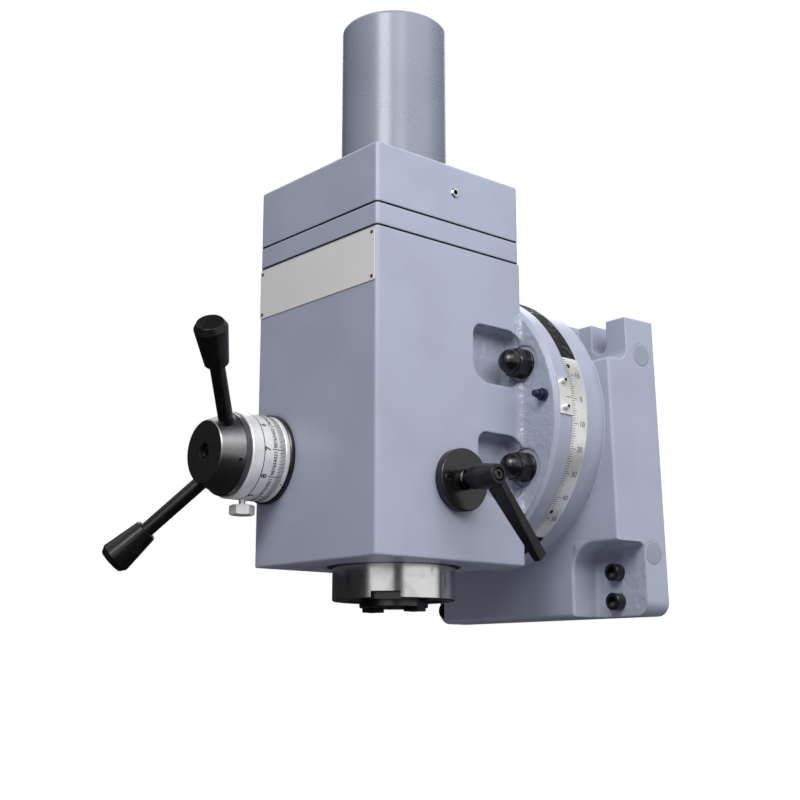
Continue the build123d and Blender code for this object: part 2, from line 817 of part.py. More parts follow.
# Bare plate on the front of the head
with BuildPart() as name_plate:
    block(
        (-plate_width / 2, head_front - plate_depth, plate_low),
        (plate_width / 2, head_front, plate_low + plate_height),
    )
    fillet(name_plate.edges().filter_by(Axis.Y), 1.5)
    rivet_x = plate_width / 2 - plate_rivet_inset
    rivet_places = [
        (side * rivet_x, plate_low + rise)
        for side in (-1, 1)
        for rise in (plate_rivet_inset, plate_height - plate_rivet_inset)
    ]
save(name_plate, "name_plate")

# Round-headed pins at the plate's corners
with BuildPart() as name_plate_rivets:
    for x, z in rivet_places:
        rivet_plane = Plane(origin=(x, head_front - plate_depth, z), x_dir=(1, 0, 0), z_dir=(0, -1, 0))
        turned_along(rivet_plane, ((0, 0), (1.9, 0), (1.6, 0.5), (0.9, 0.9), (0, 1.0)))
save(name_plate_rivets, "name_plate_rivets")

# Bolts whose square heads slide round the bracket's tee slot
with BuildPart() as clamp_t_bolts:
    tee_head_front = swivel_face + tee_neck_depth + clear_gap
    bolt_front = flange_front + spot_depth - washer_depth - nut_hex_depth - bolt_past_hexagon
    for x, z in clamp_places:
        radial = Vector(x, 0, z).normalized()
        head_plane = Plane(origin=(x, tee_head_front, z), x_dir=radial, z_dir=(0, 1, 0))
        with BuildSketch(head_plane):
            Rectangle(tee_head_width, tee_head_width)
        extrude(amount=tee_head_depth)
    bar_y(clamp_places, clamp_bolt_radius, bolt_front, tee_head_front)
save(clamp_t_bolts, "clamp_t_bolts")

# Plain washers on the spot faces
with BuildPart() as clamp_washers:
    washer_back = flange_front + spot_depth
    washer_front = washer_back - washer_depth
    bar_y(clamp_places, washer_radius, washer_front, washer_back)
    chamfer(edges_where(clamp_washers, y=washer_front), 0.8)
    bar_y(clamp_places, clamp_hole_radius, washer_front, washer_back, Mode.SUBTRACT)
save(clamp_washers, "clamp_washers")

# Domed cap nuts
with BuildPart() as clamp_nuts:
    hex_front = washer_front - nut_hex_depth
    dome_front = washer_front - nut_height
    hexagon_y(clamp_places, nut_across_flats, hex_front, washer_front)
    for x, z in clamp_places:
        turned_y(hexagon_bevel(nut_across_flats, hex_front, 1), x, z, Mode.SUBTRACT)
        with BuildSketch(Plane.XY.offset(z)):
            with BuildLine():
                cap = CenterArc((x, dome_front + nut_dome_radius), nut_dome_radius, -90, 90)
                Polyline(cap @ 1, (x + nut_dome_radius, hex_front + 1), (x, hex_front + 1), cap @ 0)
            make_face()
        revolve(axis=Axis((x, 0, z), (0, 1, 0)))
    bar_y(clamp_places, clamp_bolt_radius, bolt_front - 1.0, washer_front, Mode.SUBTRACT)
save(clamp_nuts, "clamp_nuts")

# Curved plate with the zero line, on the flange's rim
with BuildPart() as zero_index_plate:
    rim_strip(
        swivel_radius, index_plate_radius, index_low_angle, index_high_angle,
        flange_front + rim_chamfer, swivel_face - 0.5,
    )
save(zero_index_plate, "zero_index_plate")

# Two small screws in the index plate
with BuildPart() as index_plate_screws:
    for screw_angle in (index_low_angle + 2.8, index_high_angle - 1.5):
        screw_plane = rim_plane(screw_angle, index_plate_radius, swivel_face - 10.0)
        turned_along(
            screw_plane,
            (
                (0, 0),
                (index_screw_radius, 0),
                (index_screw_radius, index_screw_height - index_screw_edge),
                (index_screw_radius - index_screw_edge, index_screw_height),
                (0, index_screw_height),
            ),
        )
        with BuildSketch(screw_plane.offset(index_screw_height)) as socket:
            RegularPolygon(index_screw_socket / 2, 6, major_radius=False)
        extrude(socket.sketch, amount=-index_screw_socket_depth, mode=Mode.SUBTRACT)
save(index_plate_screws, "index_plate_screws")

# Oil nipple on the flange's front face: a collar, a body, a narrow neck and a tapered tip
with BuildPart() as oil_nipple:
    nipple_plane = Plane(origin=(nipple_x, flange_front, nipple_z), x_dir=(1, 0, 0), z_dir=(0, -1, 0))
    neck_start = nipple_length - nipple_tip_depth - nipple_neck_depth
    turned_along(
        nipple_plane,
        (
            (0, 0),
            (nipple_collar_radius, 0),
            (nipple_collar_radius, nipple_collar_depth),
            (nipple_body_radius, nipple_collar_depth),
            (nipple_body_radius, neck_start),
            (nipple_neck_radius, neck_start),
            (nipple_neck_radius, neck_start + nipple_neck_depth),
            (nipple_tip_radius, neck_start + nipple_neck_depth),
            (nipple_tip_radius, nipple_length - nipple_tip_depth / 2),
            (nipple_neck_radius, nipple_length),
            (0, nipple_length),
        ),
    )
save(oil_nipple, "oil_nipple")

# Felt wiper round the quill at the bottom of the head
with BuildPart() as quill_wiper:
    ring_z(wiper_radius, quill_radius + 2 * running_fit, head_bottom, head_bottom + wiper_depth)
save(quill_wiper, "quill_wiper")

# Black flange that carries the quill lock
with BuildPart() as lock_flange:
    flange_face = head_half_width + lock_flange_depth
    lock_screw_seat = flange_face - lock_screw_head
    bar_x(lock_centre, lock_flange_radius, head_half_width, flange_face)
    fillet(edges_where(lock_flange, x=flange_face), 1.5)
    bar_x(lock_centre, lock_bush_radius, head_half_width, flange_face, Mode.SUBTRACT)
    bar_x(lock_screws, lock_screw_radius, head_half_width, flange_face, Mode.SUBTRACT)
    bar_x(lock_screws, lock_screw_recess_radius, lock_screw_seat, flange_face, Mode.SUBTRACT)
save(lock_flange, "lock_flange")

# Bright steel bush in the flange that the lock's stud turns in
with BuildPart() as lock_bush:
    bush_face = flange_face + lock_bush_proud
    bar_x(lock_centre, lock_bush_radius, head_half_width, bush_face)
    chamfer(edges_where(lock_bush, x=bush_face), 1.2)
    bar_x(lock_centre, stud_radius + running_fit, head_half_width, bush_face, Mode.SUBTRACT)
save(lock_bush, "lock_bush")

# Socket screws sunk in the lock flange
with BuildPart() as lock_flange_screws:
    lock_screw_face = flange_face - clear_gap
    bar_x(lock_screws, lock_screw_head_radius, lock_screw_seat, lock_screw_face)
    chamfer(edges_where(lock_flange_screws, x=lock_screw_face), 0.5)
    bar_x(lock_screws, lock_screw_radius, lock_screw_end, lock_screw_seat)
    with BuildSketch(Plane.YZ.offset(lock_screw_face)):
        with Locations(*lock_screws):
            RegularPolygon(lock_screw_socket / 2, 6, major_radius=False)
    extrude(amount=-lock_screw_head / 2, mode=Mode.SUBTRACT)
save(lock_flange_screws, "lock_flange_screws")

# Bronze bush with a black flange, where the feed shaft leaves the head
with BuildPart() as feed_shaft_bush:
    feed_bush_bore = feed_radius + running_fit
    turned_y(
        (
            (feed_bush_bore, index_front),
            (dial_flange_radius - 1.0, index_front),
            (dial_flange_radius, index_front + 1.0),
            (dial_flange_radius, head_front),
            (feed_bore_radius, head_front),
            (feed_bore_radius, head_front + feed_bush_length),
            (feed_bush_bore, head_front + feed_bush_length),
        ),
        feed_x,
        feed_z,
    )
save(feed_shaft_bush, "feed_shaft_bush")

# Small bush behind the feed pinion
with BuildPart() as rear_feed_bush:
    tail_bore = feed_tail_radius + running_fit
    turned_y(
        (
            (tail_bore, feed_bore_back),
            (rear_feed_bush_radius, feed_bore_back),
            (rear_feed_bush_radius, rear_feed_bush_back),
            (tail_bore, rear_feed_bush_back),
        ),
        feed_x,
        feed_z,
    )
save(rear_feed_bush, "rear_feed_bush")

# Fixed ring with the dial's index line
with BuildPart() as dial_index_ring:
    turned_y(
        (
            (feed_radius + 2.0, dial_back),
            (dial_radius - 0.5, dial_back),
            (dial_radius, dial_back + 0.5),
            (dial_radius, index_front),
            (feed_radius + 2.0, index_front),
        ),
        feed_x,
        feed_z,
    )
save(dial_index_ring, "dial_index_ring")

# Two bearings that carry the drive sleeve
with BuildPart() as sleeve_bearings:
    for bearing_low in (lower_sleeve_bearing, upper_sleeve_bearing):
        bearing_high = bearing_low + sleeve_bearing_depth
        ring_z(sleeve_bearing_radius, sleeve_radius + running_fit, bearing_low, bearing_high)
save(sleeve_bearings, "sleeve_bearings")

# Tube that keeps the outer rings of the sleeve bearings apart
with BuildPart() as bearing_spacer:
    spacer_low = lower_sleeve_bearing + sleeve_bearing_depth
    ring_z(sleeve_bearing_radius, sleeve_bearing_radius - 4.0, spacer_low, upper_sleeve_bearing)
save(bearing_spacer, "bearing_spacer")

# Ring between the upper sleeve bearing and the spacer plate
with BuildPart() as bearing_retainer:
    retainer_low = upper_sleeve_bearing + sleeve_bearing_depth
    ring_z(sleeve_bearing_radius, sleeve_collar_radius + 1.0, retainer_low, body_top)
save(bearing_retainer, "bearing_retainer")

# Two bearings that carry the input shaft
with BuildPart() as input_bearings:
    for bearing_front in (front_input_bearing, rear_input_bearing):
        bearing_back = bearing_front + input_bearing_depth
        turned_y(
            (
                (input_radius + running_fit, bearing_front),
                (cavity_radius, bearing_front),
                (cavity_radius, bearing_back),
                (input_radius + running_fit, bearing_back),
            )
        )
save(input_bearings, "input_bearings")

# Cover on the back of the swivel pilot that holds the input bearings in
with BuildPart() as input_bearing_cover:
    cover_back = pilot_back + 6.0
    turned_y(
        (
            (input_radius + 1.0, pilot_back),
            (pilot_radius - 4.0, pilot_back),
            (pilot_radius - 4.0, cover_back),
            (input_radius + 1.0, cover_back),
        )
    )
    ring_screw_seat = cover_back - ring_screw_head
    bar_y(cover_ring, ring_screw_radius, pilot_back, cover_back, Mode.SUBTRACT)
    bar_y(cover_ring, ring_screw_head_radius + joint_gap, ring_screw_seat, cover_back, Mode.SUBTRACT)
save(input_bearing_cover, "input_bearing_cover")

# Flush screws in the bearing cover
with BuildPart() as bearing_cover_screws:
    bar_y(cover_ring, ring_screw_radius, pilot_back - ring_screw_sunk, ring_screw_seat)
    bar_y(cover_ring, ring_screw_head_radius, ring_screw_seat, cover_back - clear_gap)
save(bearing_cover_screws, "bearing_cover_screws")

# Shaft that brings the drive in from the ram
with BuildPart() as input_shaft:
    turned_y(
        (
            (0, input_front),
            (input_end_radius, input_front),
            (input_end_radius, pinion_back + 3.0),
            (input_radius, pinion_back + 3.0),
            (input_radius, cover_back - 2.0),
            (input_end_radius, cover_back - 2.0),
            (input_end_radius, coupling_back - dog_depth),
            (0, coupling_back - dog_depth),
        )
    )
save(input_shaft, "input_shaft")

# Bevel pinion on the front of the input shaft
gear_pitch_radius = bevel_module * bevel_gear_teeth / 2
pinion_pitch_radius = bevel_module * bevel_pinion_teeth / 2
pinion_tooth = bevel_tooth(pinion_pitch_radius, gear_pitch_radius)
with BuildPart() as bevel_pinion:
    pinion_depth = pinion_back - spindle_y
    blank = bevel_blank(pinion_pitch_radius, gear_pitch_radius, input_end_radius, pinion_depth)
    turned_along(apex_pinion, blank)
    with Locations(apex_pinion):
        with PolarLocations(0, bevel_pinion_teeth):
            add(pinion_tooth)
save(bevel_pinion, "bevel_pinion")

# Slotted coupling on the rear of the input shaft
with BuildPart() as drive_coupling:
    bar_y([(0, 0)], coupling_radius, coupling_front, coupling_back)
    chamfer(edges_where(drive_coupling, y=coupling_back), 1.5)
    bar_y([(0, 0)], input_end_radius, coupling_front, coupling_back - dog_depth, Mode.SUBTRACT)
    block(
        (-coupling_radius, coupling_back - dog_depth, -dog_width / 2),
        (coupling_radius, coupling_back, dog_width / 2),
        Mode.SUBTRACT,
    )
save(drive_coupling, "drive_coupling")

# Sleeve that turns the spindle through its splines
with BuildPart() as drive_sleeve:
    collar_low, collar_high = sleeve_collar
    spline_bore = spline_core_radius + 0.2
    turned_z(
        (
            (spline_bore, sleeve_bottom),
            (gear_seat_radius, sleeve_bottom),
            (gear_seat_radius, collar_low),
            (sleeve_collar_radius, collar_low),
            (sleeve_collar_radius, collar_high),
            (sleeve_radius, collar_high),
            (sleeve_radius, sleeve_top),
            (spline_bore, sleeve_top),
        )
    )
    slot_reach = spline_tip_radius + 0.2
    with BuildSketch(Plane.XY.offset(sleeve_bottom)):
        with Locations((0, spindle_y)):
            with PolarLocations(slot_reach / 2, spline_count):
                Rectangle(slot_reach, spline_width + 0.3)
    extrude(amount=sleeve_top - sleeve_bottom, mode=Mode.SUBTRACT)
save(drive_sleeve, "drive_sleeve")

# Bevel gear on the bottom of the sleeve
gear_tooth = bevel_tooth(gear_pitch_radius, pinion_pitch_radius)
with BuildPart() as bevel_gear:
    blank = bevel_blank(gear_pitch_radius, pinion_pitch_radius, gear_seat_radius, collar_low)
    turned_along(apex_gear, blank)
    with Locations(apex_gear):
        with PolarLocations(0, bevel_gear_teeth):
            add(gear_tooth)
save(bevel_gear, "bevel_gear")

# Nut that holds the sleeve in its bearings
with BuildPart() as sleeve_lock_nut:
    ring_z(sleeve_collar_radius - 1.0, sleeve_radius, retainer_low + clear_gap, body_top - 2.0)
save(sleeve_lock_nut, "sleeve_lock_nut")

# Quill: the sliding sleeve with bearing seats, a slot for the bevel pinion and a rack on its left
with BuildPart() as quill:
    turned_z(
        (
            (cap_seat_radius, quill_bottom),
            (quill_radius - 1.0, quill_bottom),
            (quill_radius, quill_bottom + 1.0),
            (quill_radius, quill_top),
            (quill_top_bore, quill_top),
            (quill_top_bore, upper_bearing_high),
            (upper_bearing_radius, upper_bearing_high),
            (upper_bearing_radius, upper_bearing_low),
            (quill_waist_bore, upper_bearing_low),
            (quill_waist_bore, lower_bearing_high + 1.0),
            (lower_bearing_radius, lower_bearing_high + 1.0),
            (lower_bearing_radius, cap_high),
            (cap_seat_radius, cap_high),
        )
    )
    block(
        (-quill_slot_half, spindle_y + 20.0, quill_slot_bottom),
        (quill_slot_half, spindle_y + quill_radius + 1.0, quill_top),
        Mode.SUBTRACT,
    )
    notch_plane = Plane(
        origin=(0, spindle_y, quill_bottom),
        x_dir=(cos(radians(notch_direction)), sin(radians(notch_direction)), 0),
        z_dir=(0, 0, 1),
    )
    with BuildSketch(notch_plane):
        with Locations((quill_radius, 0)):
            Rectangle(2 * (quill_radius - cap_seat_radius), notch_width)
    extrude(amount=notch_height, mode=Mode.SUBTRACT)
    pitch_line = feed_x + feed_module * feed_teeth / 2
    rack_pitch = pi * feed_module
    rack_half = feed_face / 2 + 1.0
    block(
        (-quill_radius - 1.0, spindle_y - rack_half, feed_z - 2.5 * rack_pitch),
        (pitch_line - rack_addendum, spindle_y + rack_half, quill_top),
        Mode.SUBTRACT,
    )
    with BuildSketch(Plane.XZ.offset(-(spindle_y + rack_half))):
        mouth = pitch_line - 2 * rack_addendum
        floor = pitch_line + rack_dedendum
        mouth_half = rack_pitch / 4 + 2 * rack_addendum * tan(pressure_angle)
        floor_half = rack_pitch / 4 - rack_dedendum * tan(pressure_angle)
        for space in range(-2, 9):
            middle = feed_z + space * rack_pitch
            Polygon(
                (mouth, middle - mouth_half),
                (floor, middle - floor_half),
                (floor, middle + floor_half),
                (mouth, middle + mouth_half),
                align=None,
            )
    extrude(amount=2 * rack_half, mode=Mode.SUBTRACT)
save(quill, "quill")

# Pair of bearings behind the spindle nose
with BuildPart() as lower_spindle_bearings:
    bearing_middle = (lower_bearing_low + lower_bearing_high) / 2
    bearing_bore = journal_radius + running_fit
    ring_z(lower_bearing_radius, bearing_bore, lower_bearing_low, bearing_middle - 0.5)
    ring_z(lower_bearing_radius, bearing_bore, bearing_middle + 0.5, lower_bearing_high)
save(lower_spindle_bearings, "lower_spindle_bearings")

# Bearing at the top of the spindle journal
with BuildPart() as upper_spindle_bearing:
    ring_z(upper_bearing_radius, bearing_bore, upper_bearing_low, upper_bearing_high)
save(upper_spindle_bearing, "upper_spindle_bearing")

# Ring that closes the bottom of the quill
with BuildPart() as quill_bearing_cap:
    ring_z(cap_seat_radius, nose_neck_radius + 0.5, quill_bottom + 1.0, cap_high)
save(quill_bearing_cap, "quill_bearing_cap")

# Spindle with its taper socket, key slots, bolt holes and splined tail
key_planes = [
    Plane(
        origin=(0, spindle_y, nose_face),
        x_dir=(cos(radians(angle)), sin(radians(angle)), 0),
        z_dir=(0, 0, 1),
    )
    for angle in (key_angle, key_angle + 180)
]
key_middle = (key_inner + key_outer) / 2
key_length = key_outer - key_inner
with BuildPart() as spindle:
    turned_z(
        (
            (0, nose_face),
            (nose_radius - 0.8, nose_face),
            (nose_radius, nose_face + 0.8),
            (nose_radius, quill_bottom - 0.5),
            (nose_neck_radius, quill_bottom - 0.5),
            (nose_neck_radius, cap_high),
            (journal_radius, cap_high),
            (journal_radius, upper_bearing_high),
            (thread_radius, upper_bearing_high),
            (thread_radius, thread_high),
            (spline_core_radius, thread_high),
            (spline_core_radius, spindle_top),
            (0, spindle_top),
        )
    )
    with BuildSketch(Plane.XY.offset(thread_high)):
        with Locations((0, spindle_y)):
            with PolarLocations(spline_tip_radius / 2, spline_count):
                Rectangle(spline_tip_radius, spline_width)
    extrude(amount=spindle_top - thread_high)
    taper_end_radius = taper_mouth_radius - taper_slope * taper_depth
    turned_z(
        (
            (0, nose_face),
            (taper_mouth_radius, nose_face),
            (taper_end_radius, nose_face + taper_depth),
            (0, nose_face + taper_depth),
        ),
        Mode.SUBTRACT,
    )
    bar_z([(0, spindle_y)], draw_bore_radius, nose_face, spindle_top, Mode.SUBTRACT)
    for key_plane in key_planes:
        with BuildSketch(key_plane):
            with Locations((key_middle + 2.0, 0)):
                Rectangle(key_length + 4.0, key_width)
        extrude(amount=key_sunk, mode=Mode.SUBTRACT)
        with BuildSketch(key_plane):
            with Locations((key_middle, 0)):
                Circle(key_screw_radius)
        extrude(amount=key_sunk + key_screw_length, mode=Mode.SUBTRACT)
    with BuildSketch(key_planes[0]):
        with PolarLocations(nose_bolt_circle / 2, 4, start_angle=45):
            Circle(nose_bolt_radius)
    extrude(amount=nose_bolt_depth, mode=Mode.SUBTRACT)
save(spindle, "spindle")

# Keys in the spindle nose that drive the tool
with BuildPart() as drive_keys:
    for key_plane in key_planes:
        with BuildSketch(key_plane.offset(-key_proud)):
            with Locations((key_middle, 0)):
                Rectangle(key_length, key_width)
        extrude(amount=key_proud + key_sunk)
        with BuildSketch(key_plane.offset(-key_proud)):
            with Locations((key_middle, 0)):
                Circle(key_screw_head_radius + 0.2)
        extrude(amount=key_screw_head, mode=Mode.SUBTRACT)
        with BuildSketch(key_plane):
            with Locations((key_middle, 0)):
                Circle(key_screw_radius)
        extrude(amount=key_sunk, mode=Mode.SUBTRACT)
save(drive_keys, "drive_keys")

# Socket screws that hold the keys
with BuildPart() as key_screws:
    for key_plane in key_planes:
        with BuildSketch(key_plane.offset(key_screw_head - key_proud)):
            with Locations((key_middle, 0)):
                Circle(key_screw_head_radius)
        extrude(amount=0.5 - key_screw_head)
        with BuildSketch(key_plane.offset(key_screw_head - key_proud)):
            with Locations((key_middle, 0)):
                Circle(key_screw_radius)
        extrude(amount=key_proud + key_sunk + key_screw_length - key_screw_head)
        with BuildSketch(key_plane.offset(0.5 - key_proud)):
            with Locations((key_middle, 0)):
                RegularPolygon(2.0, 6, major_radius=False)
        extrude(amount=2.5, mode=Mode.SUBTRACT)
save(key_screws, "key_screws")

# Nut that holds the spindle in the quill
with BuildPart() as spindle_lock_nut:
    ring_z(nose_neck_radius, thread_radius, upper_bearing_high + 2.0, thread_high)
save(spindle_lock_nut, "spindle_lock_nut")

# Drawbar through the spindle, with a collar and a hexagon on top
with BuildPart() as drawbar:
    turned_z(
        (
            (0, drawbar_bottom),
            (drawbar_radius - 1.0, drawbar_bottom),
            (drawbar_radius, drawbar_bottom + 1.0),
            (drawbar_radius, spindle_top + clear_gap),
            (drawbar_collar_radius, spindle_top + clear_gap),
            (drawbar_collar_radius, spindle_top + 7.0),
            (0, spindle_top + 7.0),
        )
    )
    with BuildSketch(Plane.XY.offset(spindle_top + 7.0)):
        with Locations((0, spindle_y)):
            RegularPolygon(9.5, 6, major_radius=False)
    extrude(amount=12.0)
save(drawbar, "drawbar")

# Shaft of the quill feed with its pinion
with BuildPart() as feed_pinion_shaft:
    pinion_end = spindle_y + feed_face / 2
    feed_centre = [(feed_x, feed_z)]
    bar_y(feed_centre, feed_radius, shaft_front, pinion_end)
    bar_y(feed_centre, feed_tail_radius, pinion_end, rear_feed_bush_back - 0.5)
    feed_tooth = tooth_outline(feed_module * feed_teeth / 2, feed_module, feed_module, rack_dedendum)
    with BuildSketch(Plane.XZ.offset(-pinion_end)):
        with Locations((feed_x, feed_z)):
            with PolarLocations(0, feed_teeth):
                Polygon(*feed_tooth, align=None)
    extrude(amount=feed_face)
    bar_y(feed_centre, hub_screw_radius, shaft_front, shaft_front + hub_screw_sunk, Mode.SUBTRACT)
save(feed_pinion_shaft, "feed_pinion_shaft")

# Hub of the feed handle, with a boss that carries the dial
with BuildPart() as handle_hub:
    turned_y(
        (
            (0, dial_back - 0.5),
            (dial_bore_radius - running_fit, dial_back - 0.5),
            (dial_bore_radius - running_fit, dial_front),
            (collar_radius, dial_front),
            (collar_radius, collar_front),
            (collar_radius - collar_step, collar_front),
            (hub_nose_radius, hub_front + 1.0),
            (hub_nose_radius - 1.0, hub_front),
            (0, hub_front),
        ),
        feed_x,
        feed_z,
    )
    bar_y(feed_centre, feed_radius, shaft_front, dial_back, Mode.SUBTRACT)
    bar_y(feed_centre, hub_screw_radius, hub_front, shaft_front, Mode.SUBTRACT)
    bar_y(feed_centre, hub_recess_radius, hub_front, hub_front + hub_recess_depth, Mode.SUBTRACT)
    for turn in arm_turns:
        bar_along(arm_plane(turn, arm_root), arm_radius, arm_tip - arm_root, Mode.SUBTRACT)
    set_screw_plane = Plane(
        origin=(feed_x, set_screw_y, feed_z),
        x_dir=(0, 1, 0),
        z_dir=(cos(radians(set_screw_turn)), 0, sin(radians(set_screw_turn))),
    )
    bar_along(set_screw_plane, set_screw_radius, collar_radius, Mode.SUBTRACT)
save(handle_hub, "handle_hub")

# Two arms of the feed handle
with BuildPart() as handle_arms:
    for turn in arm_turns:
        bar_along(arm_plane(turn, arm_root), arm_radius, arm_tip - arm_root)
save(handle_arms, "handle_arms")

# Grips on the ends of the arms
with BuildPart() as handle_knobs:
    knob_length = knob_end - knob_start
    for turn in arm_turns:
        turned_along(
            arm_plane(turn, knob_start),
            (
                (0, 0),
                (knob_root_radius - 1.0, 0),
                (knob_root_radius, 1.0),
                (knob_radius, knob_length - knob_bevel_depth),
                (knob_end_radius, knob_length),
                (0, knob_length),
            ),
        )
    for rim_radius, rounding in ((knob_radius, knob_rounding), (knob_end_radius, knob_end_rounding)):
        knob_rims = handle_knobs.edges().filter_by(GeomType.CIRCLE).filter_by(
            lambda edge: abs(edge.radius - rim_radius) < 0.01
        )
        fillet(knob_rims, rounding)
    for turn in arm_turns:
        bar_along(arm_plane(turn, knob_start), arm_radius, arm_tip - knob_start, Mode.SUBTRACT)
save(handle_knobs, "handle_knobs")

# Socket screw in the end of the hub
with BuildPart() as hub_screw:
    screw_seat = hub_front + hub_recess_depth
    hub_screw_face = screw_seat - hub_screw_head
    bar_y(feed_centre, hub_screw_head_radius, hub_screw_face, screw_seat)
    chamfer(edges_where(hub_screw, y=hub_screw_face), 0.7)
    bar_y(feed_centre, hub_screw_radius, screw_seat, shaft_front + hub_screw_sunk - 4.0)
    socket_y(feed_centre, hub_screw_socket, hub_screw_face, hub_screw_head / 2)
save(hub_screw, "hub_screw")

# Set screw in the side of the hub
with BuildPart() as hub_set_screw:
    bar_along(set_screw_plane.offset(feed_radius), set_screw_radius, set_screw_length)
    with BuildSketch(set_screw_plane.offset(feed_radius + set_screw_length)):
        RegularPolygon(set_screw_radius / 2, 6, major_radius=False)
    extrude(amount=-set_screw_radius, mode=Mode.SUBTRACT)
save(hub_set_screw, "hub_set_screw")

# Graduated dial that turns on the hub's boss
with BuildPart() as graduated_dial:
    groove_y = dial_front + dial_smooth_depth
    turned_y(
        (
            (dial_bore_radius, dial_back - clear_gap),
            (dial_radius - 0.5, dial_back - clear_gap),
            (dial_radius, dial_back - clear_gap - 0.5),
            (dial_radius, groove_y + 0.4),
            (dial_radius - 0.5, groove_y + 0.4),
            (dial_radius - 0.5, groove_y - 0.4),
            (dial_radius, groove_y - 0.4),
            (dial_radius, dial_front + clear_gap + 1.0),
            (dial_radius - 1.0, dial_front + clear_gap),
            (dial_bore_radius, dial_front + clear_gap),
        ),
        feed_x,
        feed_z,
    )
    dial_screw_plane = Plane(
        origin=(feed_x, dial_front + dial_screw_place, feed_z), x_dir=(1, 0, 0), z_dir=(0, 0, -1)
    )
    dial_screw_hole = dial_screw_plane.offset(dial_bore_radius - 2.0)
    bar_along(dial_screw_hole, dial_screw_radius + running_fit, dial_bore_radius, Mode.SUBTRACT)
save(graduated_dial, "graduated_dial")

# Screw with a hexagonal head that locks the dial to the hub by hand
with BuildPart() as dial_lock_screw:
    thumb_end = thumb_start + thumb_depth
    stem_start = dial_bore_radius + clear_gap
    bar_along(dial_screw_plane.offset(stem_start), dial_screw_radius, thumb_start - stem_start)
    with BuildSketch(dial_screw_plane.offset(thumb_start)):
        RegularPolygon(thumb_across_flats / 2, 6, major_radius=False)
    extrude(amount=thumb_depth)
    for end, inward in ((thumb_start, 1), (thumb_end, -1)):
        bevel = hexagon_bevel(thumb_across_flats, end, inward)
        turned_along(dial_screw_plane, bevel, Mode.SUBTRACT)
save(dial_lock_screw, "dial_lock_screw")

# Threaded stud of the quill lock
with BuildPart() as lock_stud:
    bar_x(lock_centre, stud_radius, tip_outer, stud_end)
    bar_x(lock_centre, lever_screw_radius, stud_end - lever_screw_sunk, stud_end, Mode.SUBTRACT)
save(lock_stud, "lock_stud")

# Brass pad that presses on the quill
with BuildPart() as brass_tip:
    bar_x(lock_centre, stud_radius - 1.0, quill_radius + 0.6, tip_outer)
save(brass_tip, "brass_tip")

# Lever on the stud: a necked hub, and an arm that is deep at the hub and flat at its tip
with BuildPart() as lock_lever:
    lever_face = lever_end - lever_chamfer
    turned_along(
        lock_axis_plane,
        (
            (0, lever_start),
            (lever_neck_radius - lever_chamfer, lever_start),
            (lever_neck_radius, lever_start + lever_chamfer),
            (lever_neck_radius, lever_step),
            (lever_hub_radius, lever_step + lever_chamfer),
            (lever_face_radius, lever_face),
            (lever_face_radius - lever_chamfer, lever_end),
            (0, lever_end),
        ),
    )
    arm_direction = Vector(0, cos(radians(lever_fall)), -sin(radians(lever_fall)))
    for distance, (width, depth) in ((0, lever_root_size), (lever_length, lever_tip_size)):
        middle = Vector(lever_face - depth / 2, spindle_y, lock_z) + arm_direction * distance
        with BuildSketch(Plane(origin=middle, x_dir=(1, 0, 0), z_dir=arm_direction)):
            RectangleRounded(depth, width, lever_edge_radius)
    loft(ruled=True)
    bar_x(lock_centre, stud_radius, lever_start, stud_end, Mode.SUBTRACT)
    bar_x(lock_centre, lever_screw_radius, stud_end, lever_end, Mode.SUBTRACT)
    bar_x(lock_centre, lever_recess_radius, lever_end - lever_recess, lever_end, Mode.SUBTRACT)
save(lock_lever, "lock_lever")

# Screw that holds the lever on the stud
with BuildPart() as lever_screw:
    lever_seat = lever_end - lever_recess
    lever_screw_face = lever_seat + lever_screw_head
    bar_x(lock_centre, lever_screw_head_radius, lever_seat, lever_screw_face)
    chamfer(edges_where(lever_screw, x=lever_screw_face), 0.6)
    bar_x(lock_centre, lever_screw_radius, stud_end - lever_screw_sunk + 2.0, lever_seat)
    with BuildSketch(Plane.YZ.offset(lever_screw_face)):
        with Locations(*lock_centre):
            RegularPolygon(lever_screw_socket / 2, 6, major_radius=False)
    extrude(amount=-lever_screw_head / 2, mode=Mode.SUBTRACT)
save(lever_screw, "lever_screw")
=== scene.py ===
# %% [markdown]
# # A swivelling milling head in studio light
#
# The machine unit is already built as solids, one for each real piece, in metres. This lesson
# dresses it: every casting, shaft and screw gets a finish, and the thin things that a solid model
# leaves out are added as small meshes, such as graduations, numerals and the sealing lines between
# the covers. Nothing here moves or resizes a solid, so the pieces still turn and slide as before.

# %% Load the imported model
import math

import bmesh
import bpy
from mathutils import Matrix, Vector


